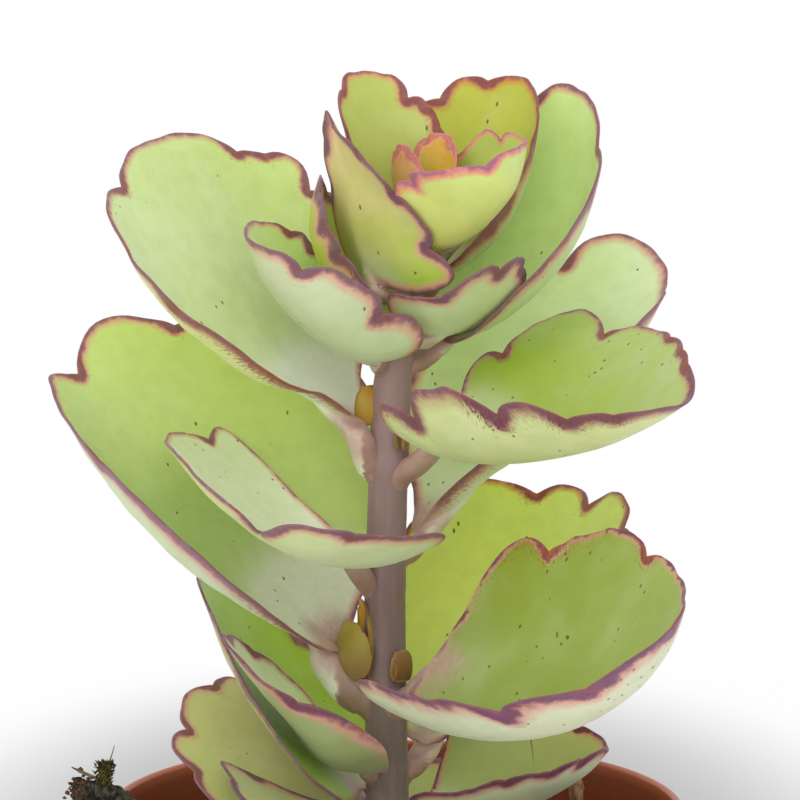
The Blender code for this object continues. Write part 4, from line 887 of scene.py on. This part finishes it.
def makeStem():
    heights = np.linspace(stemLook["bottom"], stemLook["top"], stemLook["rings"])
    nodes = sorted({leaf["node"] for leaf in leaves.values()})
    sides, radii = stemAt(heights)
    for node in nodes:
        fade = 1.0 if node < stemLook["youngFrom"] else stemLook["young"]
        radii = radii + fade * stemLook["swell"] * np.exp(-(((heights - node) / stemLook["swellReach"]) ** 2))
        fromScar = (heights - node - stemLook["scarAt"]) / stemLook["scarReach"]
        radii = radii - fade * stemLook["scar"] * np.exp(-(fromScar ** 2))
    radii[-len(stemLook["tip"]):] *= np.array(stemLook["tip"])

    def lump(ring, turn):
        place = Vector((2.5 * math.cos(turn), 2.5 * math.sin(turn), heights[ring] / 2.2))
        flutes = stemLook["flute"] * math.cos(4 * turn + 0.02 * heights[ring])
        return 1.0 + flutes + stemLook["lumps"] * noise.noise(place)

    points, faces = tubeShell([(s, 0.0, h) for s, h in zip(sides, heights)], radii, stemLook["around"], lump)
    # Stem skin: smooth epidermis with a thin grey wax bloom, dull, faintly streaked along its length.
    material, add = newMaterial("stemEpidermis", {
        "Roughness": 0.6, "IOR": 1.45, "Subsurface Weight": 0.15, "Subsurface Radius": (1.0, 0.5, 0.4),
        "Subsurface Scale": 0.002, "Sheen Weight": 0.25, "Sheen Roughness": 0.35})
    spot = add("TexCoord")["Object"]
    height = add("SeparateXYZ", {0: spot})["Z"]
    low, middle, high = stemLook["colourAt"]
    tint = stemLook["lowColour"]
    for start, end, tone in ((low, middle, "midColour"), (middle, high, "topColour")):
        share = add("MapRange", {0: height, 1: start, 2: end})[0]
        tint = add("Mix", {0: share, 6: tint, 7: stemLook[tone]}, data_type="RGBA")[2]
    stretched = add("Mapping", {"Vector": spot, "Scale": (700.0, 700.0, 70.0)})[0]
    streaks = add("TexNoise", {"Vector": stretched, "Scale": 1.0, "Detail": 4.0})["Fac"]
    dusty = add("MapRange", {0: streaks, 1: 0.42, 2: 0.72, 4: 0.45})[0]
    skin = add("Mix", {0: dusty, 6: tint, 7: stemLook["dust"]}, data_type="RGBA")[2]
    dressSurface(material, skin, streaks, 0.2, 0.0002)
    finishPiece(meshPiece("stemColumn", points, faces, material), "stem_skin", "stem")


makeStem()
print("stem")

# The youngest leaves in the rosette's heart, and the shoots in the leaf axils. Each leaflet stands on its foot.
# A shoot's tone is that of most of it, its tips and one side, and its leaflets are azimuth, length and width.
tipLeaves = [
    dict(smallLeaf, azimuth=48, foot=(5.0, 0.0, 170), petiole=2.0, rise=78, lift=84, curl=-12, length=14, width=11,
         cupLeft=24, cupRight=30, tip=0.66, notches=[(-26, 0.09), 24, 60]),
    dict(smallLeaf, azimuth=222, foot=(3.4, -0.5, 170), petiole=2.5, rise=62, lift=72, curl=16, length=12.5, width=8,
         cupLeft=45, cupRight=35, tip=0.9, notches=[(-30, 0.06), 30]),
    dict(smallLeaf, azimuth=130, foot=(4.4, 0.6, 171), petiole=1.5, rise=80, lift=84, length=7, width=4.0),
    dict(smallLeaf, azimuth=310, foot=(4.8, -0.6, 171), petiole=1.5, rise=80, lift=84, length=7, width=4.0),
]
buds = {
    "bud_5_back_left": dict(foot=(-5.9, -0.4, 100.4), tone=("bronze", "mustard", "umber"),
                            leaflets=[(215, 9.8, 10.4), (15, 13.4, 8.2), (285, 4.8, 5.4)]),
    "bud_5_front_right": dict(foot=(0.5, -3.5, 100.4), tone=("umber", "bronze", "umber"),
                              leaflets=[(310, 5.4, 5.2), (185, 5.2, 4.8), (60, 4.6, 3.8)]),
    "bud_7_back_left": dict(foot=(-4.3, 0.4, 140.0), tone=("ochre", "ochre", "amber"),
                            leaflets=[(292, 6.8, 5.8), (150, 6.4, 4.6)]),
    "bud_7_front_right": dict(foot=(0.9, -3.4, 136.6), tone=("umber", "mustard", "umber"),
                              leaflets=[(340, 3.8, 3.4), (160, 3.6, 3.2)]),
}
tipLook = dict(plainLook, inner=("citron", "amber", "amber", "citron"), outer=("citron", "coral", "amber", "coral"),
               edge="#d88488", line="#ec9a90", blush="#f0b08a", rim=0.15, band=0.2, freckle=0.0, bloom=0.0)
budLook = dict(plainLook, inner=("mustard", "amber", "mustard", "amber"), edge="#8a5a3c", line="#94663c",
               blush="#a8843c", rim=0.12, band=0.12, blot=0.0, pepper=0.0, bloom=0.1)
budLeaflet = dict(smallLeaf, petiole=0.2, rise=60, lift=66, curl=58, cupLeft=70, cupRight=70, tip=0.7)
budSpread = 0.16  # how far a leaflet stands from the shoot's foot, as a share of its width


def smallShells(name, shapes, look, material, seed):
    # several small blades in one piece, with little of the petiole's colour
    points, faces, numbers, base = [], [], {}, 0
    for n, leaf in enumerate(shapes):
        shell, shellFaces, shellNumbers = bladeShell(leaf, seed + n)
        points.append(shell)
        faces += [tuple(i + base for i in face) for face in shellFaces]
        for key, values in shellNumbers.items():
            numbers.setdefault(key, []).append(values)
        base += len(shell)
    numbers = {key: np.concatenate(values) for key, values in numbers.items()}
    addWear(numbers, look)
    numbers["stalk"] *= 0.3
    return meshPiece(name, np.concatenate(points), faces, material, numbers)


finishPiece(smallShells("growingTipLeaves", tipLeaves, tipLook, leafSkin("growingTip", tipLook), seeds["tip"]),
            "tip_skin", "growing_tip")
for count, (name, bud) in enumerate(buds.items()):
    shapes, (most, tip, side) = [], bud["tone"]
    look = dict(budLook, outer=(most, tip, most, side))
    for azimuth, length, width in bud["leaflets"]:
        turn = math.radians(azimuth)
        start = np.array(bud["foot"]) + budSpread * width * np.array([math.cos(turn), math.sin(turn), 0.0])
        shapes.append(dict(budLeaflet, azimuth=azimuth, foot=start, length=length, width=width))
    shoot = smallShells(name + "Shoot", shapes, look, leafSkin(name, look), seeds["buds"] + count)
    finishPiece(shoot, "bud_skin", name)
print("growing tip and buds")

# The pot: heights and outer radii of its rim, its band and its base, which stands on a ring and a middle pad.
pot = dict(height=80.0, rim=45.0, band=13.0, bandStep=2.2, base=31.5, footRise=1.6, footRing=4.0, wall=1.3,
           floorLevel=3.4, pad=12.0, drains=6, drainRadius=3.2, drainCircle=20.0, drainDepth=12.0, steps=144,
           body="#b65c34", pale="#c46c42", paintedInsideShade="#8a4220", dust="#8a6a52")


def ringPoints(radius, height, steps):
    turns = [2 * math.pi * k / steps for k in range(steps)]
    return [(radius * math.cos(turn), radius * math.sin(turn), height) for turn in turns]


def turnedShell(profile, steps):
    # a profile of (radius, height) from axis to axis, turned about the Z axis
    points, faces, rings = [], [], []
    for radius, height in profile:
        if radius < 1e-6:
            rings.append([len(points)] * steps)
            points.append((0.0, 0.0, height))
            continue
        rings.append(list(range(len(points), len(points) + steps)))
        points += ringPoints(radius, height, steps)
    for low, high in zip(rings, rings[1:]):
        for k in range(steps):
            after = (k + 1) % steps
            faces.append(tuple(dict.fromkeys([low[k], low[after], high[after], high[k]])))
    return np.array(points), faces


def makePot():
    bandFoot, sideTop, lip = pot["height"] - pot["band"], pot["rim"] - pot["bandStep"], pot["wall"] / 2
    insideBand, insideTop, insideFoot = pot["rim"] - pot["wall"], sideTop - pot["wall"], pot["base"] - pot["wall"]
    footRing, level = pot["base"] - pot["footRing"], pot["floorLevel"]
    upWall = np.linspace(0.1, 1.0, 10)
    # inside, from the middle of the floor up the wall, over the step behind the band and on to the lip
    profile = [(0.0, level), (insideFoot - 2.0, level), (insideFoot - 0.7, level + 0.3), (insideFoot, level + 1.0)]
    profile += [(insideFoot + t * (insideTop - insideFoot), level + 1.0 + t * (bandFoot - level - 1.4))
                for t in upWall]
    profile += [(insideTop + 0.3, bandFoot), (insideBand - 1.0, bandFoot + 0.9), (insideBand - 0.7, bandFoot + 1.6),
                (insideBand - 0.35, bandFoot + 7.0), (insideBand, pot["height"] - lip)]
    # round the lip, down the band, under its step and down the outside
    profile += [(insideBand + lip - lip * math.cos(a), pot["height"] - lip + lip * math.sin(a))
                for a in np.radians([20, 40, 60, 75, 90, 105, 120, 140, 160])]
    profile += [(pot["rim"], pot["height"] - lip), (pot["rim"] - 0.35, bandFoot + 7.0),
                (pot["rim"] - 0.72, bandFoot + 1.2), (pot["rim"] - 0.8, bandFoot + 0.5),
                (pot["rim"] - 1.1, bandFoot + 0.1), (sideTop + 0.4, bandFoot - 0.2), (sideTop, bandFoot - 0.8)]
    profile += [(sideTop + t * (pot["base"] + 0.4 - sideTop), bandFoot - 0.8 + t * (1.8 - bandFoot))
                for t in upWall]
    # round the foot ring and the pad under the floor
    profile += [(pot["base"] + 0.15, 0.4), (pot["base"] - 0.5, 0.0), (footRing + 0.5, 0.0), (footRing, 0.5),
                (footRing - 0.2, pot["footRise"]), (pot["pad"] + 0.6, pot["footRise"]), (pot["pad"] + 0.3, 0.5),
                (pot["pad"], 0.0), (0.0, 0.0)]
    points, faces = turnedShell(profile, pot["steps"])
    # Injection-moulded polypropylene, terracotta colour: satin and faintly clouded, with painted shade darkening the
    # inside.
    material, add = newMaterial("mouldedPolypropylene", {"Roughness": 0.36, "IOR": 1.49})
    spot = add("TexCoord")["Object"]
    mottle = add("TexNoise", {"Vector": spot, "Scale": 45.0, "Detail": 3.0})["Fac"]
    grain = add("TexNoise", {"Vector": spot, "Scale": 1400.0, "Detail": 2.0})["Fac"]
    clouded = add("MapRange", {0: mottle, 1: 0.35, 2: 0.7})[0]
    skin = add("Mix", {0: clouded, 6: pot["body"], 7: pot["pale"]}, data_type="RGBA")[2]
    flatSpot = add("VectorMath", {0: spot, 1: (1.0, 1.0, 0.0)}, operation="MULTIPLY")[0]
    radius = add("VectorMath", {0: flatSpot}, operation="LENGTH")["Value"]
    height = add("SeparateXYZ", {0: spot})["Z"]
    # painted shade inside the pot: the wall leans out by a known slope, so a point is inside when it lies nearer
    # the axis than mid-wall, and the inside below the lip is darkened
    slope = (sideTop - pot["base"]) / bandFoot
    wallAt = add("Math", {0: height, 1: slope, 2: mm * (pot["base"] - 0.6 * pot["wall"])},
                 operation="MULTIPLY_ADD")[0]
    band = add("Math", {0: height, 1: mm * (bandFoot + 0.6)}, operation="GREATER_THAN")[0]
    band = add("Math", {0: band, 1: mm * pot["bandStep"]}, operation="MULTIPLY")[0]
    wallAt = add("Math", {0: wallAt, 1: band}, operation="ADD")[0]
    wallAt = add("Math", {0: wallAt, 1: mm * (pot["rim"] - 0.75 * pot["wall"])}, operation="MINIMUM")[0]
    inside = add("Math", {0: wallAt, 1: radius}, operation="SUBTRACT")[0]
    inside = add("MapRange", {0: inside, 1: 0.0, 2: 0.0003})[0]
    below = add("MapRange", {0: height, 1: mm * (pot["height"] - 0.4), 2: mm * (pot["height"] - 2.2)})[0]
    inside = add("Math", {0: inside, 1: below}, operation="MULTIPLY")[0]
    skin = add("Mix", {0: inside, 6: skin, 7: pot["paintedInsideShade"]}, data_type="RGBA")[2]
    dust = add("MapRange", {0: grain, 1: 0.6, 2: 0.75, 4: 0.2})[0]
    skin = add("Mix", {0: dust, 6: skin, 7: pot["dust"]}, data_type="RGBA")[2]
    dressSurface(material, skin, grain, 0.12, 0.0002)
    piece = meshPiece("potShell", points, faces, material)
    # the drain holes are drilled through the floor
    shape = bmesh.new()
    for count in range(pot["drains"]):
        turn = 2 * math.pi * (count + 0.5) / pot["drains"]
        made = bmesh.ops.create_cone(shape, cap_ends=True, segments=32, depth=mm * pot["drainDepth"],
                                     radius1=mm * pot["drainRadius"], radius2=mm * pot["drainRadius"])
        bmesh.ops.translate(shape, verts=made["verts"], vec=mm * Vector((
            pot["drainCircle"] * math.cos(turn), pot["drainCircle"] * math.sin(turn), 2.0)))
    mesh = combineShells(piece, shapePiece("drills", shape, None), "DIFFERENCE", "EXACT")
    mesh.set_sharp_from_angle(angle=math.radians(50))
    finishPiece(piece, "pot_plastic", "pot")


makePot()
print("pot")

# The soil: crumbs and grit are how many, their sizes are radii, and bare is the ring round the stem without them.
# The pot's wall leans out from wallFrom up, and the bed keeps clear of where it is, under mm below the surface.
soil = dict(level=69.5, relief=0.9, lumps=((7.0, 1.0), (3.0, 0.5), (1.2, 0.35)), crumbs=900, crumbSizes=(0.35, 1.15),
            grit=46, gritSizes=(0.5, 1.1), bare=4.2, bottom=3.7, under=3.2, wallFrom=4.8,
            clear=0.35, seed=5, rings=56, dark="#2c1d14", light="#5a4030")


def crumbShells(rng, count, place, sizes):
    # rounded broken lumps, each an icosphere pushed in and out
    shape = bmesh.new()
    for n in range(count):
        at, size = place(n), rng.uniform(*sizes)
        made = bmesh.ops.create_icosphere(shape, subdivisions=1 if size < 0.9 else 2, radius=1.0)
        stretch = Vector((rng.uniform(0.7, 1.5), rng.uniform(0.6, 1.2), rng.uniform(0.5, 1.0)))
        turn = rng.uniform(0, fullTurn)
        offset = Vector((rng.uniform(0, 90), rng.uniform(0, 90), 0.0))
        for vertex in made["verts"]:
            lumpy = 1.0 + 0.45 * noise.noise(1.3 * vertex.co + offset)
            x, y, z = (vertex.co * lumpy * size)[:]
            x, y, z = x * stretch.x, y * stretch.y, z * stretch.z
            vertex.co = mm * (Vector(at) + Vector((x * math.cos(turn) - y * math.sin(turn),
                                                   x * math.sin(turn) + y * math.cos(turn), z)))
    return shape


def crumblyMaterial(name, dark, light, scale, depth, stretch=(1.0, 1.0, 1.0), roughness=0.95):
    # a dry, matt, broken surface, darker in its hollows as painted shade and paler on its high spots as painted
    # light, in patches that differ at random
    material, add = newMaterial(name, {"Roughness": roughness, "Specular IOR Level": 0.25})
    spot = add("Mapping", {"Vector": add("TexCoord")["Object"], "Scale": stretch})[0]
    broken = add("TexNoise", {"Vector": spot, "Scale": scale, "Detail": 6.0, "Roughness": 0.65})["Fac"]
    patchy = add("TexNoise", {"Vector": spot, "Scale": scale / 6, "Detail": 2.0})["Fac"]
    mixed = add("Math", {0: patchy, 1: 0.5, 2: broken}, operation="MULTIPLY_ADD")[0]
    share = add("MapRange", {0: mixed, 1: 0.62, 2: 0.92})[0]
    skin = add("Mix", {0: share, 6: dark, 7: light}, data_type="RGBA")[2]
    dressSurface(material, skin, broken, 0.8, depth)
    return material


def soilHeight(x, y):
    place = Vector((x, y, 0.0))
    return soil["level"] + soil["relief"] * sum(size * noise.noise(place / run) for run, size in soil["lumps"])


def makeSoil():
    # the bed stays clear of the leaning wall, which is measured under the surface, and drops a little at its edge
    insideFoot, insideTop = pot["base"] - pot["wall"], pot["rim"] - pot["bandStep"] - pot["wall"]
    share = (soil["level"] - soil["under"] - soil["wallFrom"]) / (pot["height"] - pot["band"] - soil["wallFrom"])
    edge = insideFoot + share * (insideTop - insideFoot) - soil["clear"]
    steps, points, faces = pot["steps"], [], []
    radii = list(np.linspace(0.0, edge - 0.3, soil["rings"]))[1:]
    for radius in radii:
        drop = max(0.0, (radius - edge + 2.0) / 2.0) ** 2
        points += [(x, y, soilHeight(x, y) - drop) for x, y, _ in ringPoints(radius, 0.0, steps)]
    lowRings = [(edge, soil["level"] - 3.0), (insideFoot, 6.0), (insideFoot - 2.0, soil["bottom"])]
    for radius, height in lowRings:
        points += ringPoints(radius, height, steps)
    rings = len(radii) + len(lowRings)
    for i in range(rings - 1):
        low, high = i * steps, (i + 1) * steps
        faces += [(low + k, high + k, high + (k + 1) % steps, low + (k + 1) % steps) for k in range(steps)]
    top, low = len(points), len(points) + 1
    points += [(0.0, 0.0, soilHeight(0, 0)), (0.0, 0.0, soil["bottom"])]
    for k in range(steps):
        after = (k + 1) % steps
        faces += [(top, k, after), (low, (rings - 1) * steps + after, (rings - 1) * steps + k)]
    # Peat compost: dark brown fibres and 1 to 2 mm crumbs, damp and matt.
    compost = crumblyMaterial("peatCompost", soil["dark"], soil["light"], 600.0, 0.0006)
    finishPiece(meshPiece("soilBed", points, faces, compost), "potting_soil", "soil")

    rng = random.Random(soil["seed"])

    def scatter(_):
        while True:
            turn, radius = rng.uniform(0, 2 * math.pi), (edge - 1.2) * math.sqrt(rng.random())
            x, y = radius * math.cos(turn), radius * math.sin(turn)
            if math.hypot(x + 1.0, y) > soil["bare"]:
                return x, y, soilHeight(x, y) + 0.1

    crumbs = crumbShells(rng, soil["crumbs"], scatter, soil["crumbSizes"])
    finishPiece(shapePiece("soilCrumbs", crumbs, compost), "potting_soil")
    # Perlite: blown volcanic glass, off-white, full of fine pores.
    perlite = crumblyMaterial("perliteGrit", "#b3a590", "#ded6c6", 1500.0, 0.0003)
    grit = crumbShells(rng, soil["grit"], scatter, soil["gritSizes"])
    finishPiece(shapePiece("soilPerlite", grit, perlite), "potting_soil")


makeSoil()
print("soil")

# The dead twig over the rim, the crumbs on its head, its tuft of moss with one long stalk, a dry needle, and the
# stub of an old shoot in the soil.
twig = dict(
    path=[(-22.0, -3.0, 63.0), (-33.0, -5.0, 73.3), (-42.6, -6.8, 82.0), (-46.4, -7.4, 83.4), (-49.2, -8.0, 84.6)],
    radii=[1.6, 2.0, 1.9, 2.3, 1.6], head=(-48.6, -7.8, 84.4), crumbs=260, crumbSizes=(0.18, 0.5), seed=8,
    mossFoot=(-45.3, -7.4, 85.6), shoots=420, shootRadii=[0.12, 0.1, 0.03], stalk=[(0.6, 0.0, 1.5), (1.3, 0.0, 3.6),
    (1.9, 0.1, 5.6)], stalkRadii=[0.16, 0.1, 0.05], needle=[(-50.0, -8.4, 88.0), (-48.3, -8.2, 87.1),
    (-46.2, -8.0, 86.2)], needleRadii=[0.1, 0.28, 0.2], stub=[(28.8, 17.5, 63.0), (28.8, 17.5, 72.0),
    (28.9, 17.4, 79.0), (28.9, 17.4, 79.6)], stubRadii=[1.2, 1.2, 1.15, 0.5])


def threadShells(shape, paths, radii):
    # thin closed threads, each a smooth tube through its points
    for path in paths:
        places, sizes = smoothPath(path, radii, 6)
        rows, faces = tubeShell(places, sizes, 5)
        made = [shape.verts.new(mm * Vector(row)) for row in rows]
        for face in faces:
            shape.faces.new([made[i] for i in face])


def makeTwig():
    points, sizes = smoothPath(twig["path"], twig["radii"], 110)

    def lump(ring, turn):
        place = Vector((2 * math.cos(turn), 2 * math.sin(turn), 0.3 * ring))
        return 0.95 + 0.3 * noise.noise(place) + 0.16 * noise.noise(3 * place)

    # Weathered bark: grey-brown, cracked along the twig, matt.
    bark = crumblyMaterial("weatheredBark", "#1f1c18", "#5c5a4e", 700.0, 0.0004)
    finishPiece(meshPiece("twigBark", *tubeShell(points, sizes, 36, lump), bark), "twig_bark", "twig")
    rng = random.Random(twig["seed"])
    head = Vector(twig["head"])

    def onHead(_):
        return tuple(head + Vector((rng.gauss(-0.1, 0.8), rng.gauss(0, 0.8), rng.gauss(0.1, 0.9))))

    # Rotten wood: brown crumbs with paler fibres.
    rot = crumblyMaterial("rottenWood", "#24150e", "#6e5038", 900.0, 0.0004)
    crumbs = crumbShells(rng, twig["crumbs"], onHead, twig["crumbSizes"])
    finishPiece(shapePiece("twigCrumbs", crumbs, rot), "twig_bark")
    # Moss: dark olive leafy threads, dry and matt, that stand up in a narrow tuft.
    foot = Vector(twig["mossFoot"])
    shape, paths = bmesh.new(), []
    for _ in range(twig["shoots"]):
        height = rng.random() ** 0.8
        start = foot + Vector((rng.gauss(0.0, 0.62) + 0.5 * height, rng.gauss(0, 0.6), 4.3 * height - 1.4))
        lean = Vector((rng.gauss(0.15, 0.7), rng.gauss(0, 0.7), 0.6)).normalized()
        tall = rng.uniform(0.4, 0.95)
        paths.append([start, start + 0.5 * tall * lean,
                      start + tall * lean + Vector((rng.gauss(0, 0.15), rng.gauss(0, 0.15), 0.0))])
    threadShells(shape, paths, twig["shootRadii"])
    threadShells(shape, [[foot + Vector(place) for place in twig["stalk"]]], twig["stalkRadii"])
    moss = crumblyMaterial("dryMoss", "#26240f", "#66602e", 500.0, 0.0003)
    finishPiece(shapePiece("mossTuft", shape, moss), "moss", "twig_moss")
    # Dry needle: straw-coloured, caught on the head.
    places, sizes = smoothPath(twig["needle"], twig["needleRadii"], 12)
    straw = crumblyMaterial("dryNeedle", "#3a3226", "#7d7458", 1200.0, 0.0001, roughness=0.8)
    finishPiece(meshPiece("dryNeedle", *tubeShell(places, sizes, 8), straw), "twig_bark")
    # Dead stem stub: tan and papery, ribbed along its length.
    places, sizes = smoothPath(twig["stub"], twig["stubRadii"], 40)
    wood = crumblyMaterial("driedStem", "#8a6242", "#d3b08c", 500.0, 0.0002, stretch=(1.0, 1.0, 0.15), roughness=0.8)
    finishPiece(meshPiece("dryStubStalk", *tubeShell(places, sizes, 28, lump), wood), "dry_wood", "dry_stub")


makeTwig()
print("twig, moss and stub")
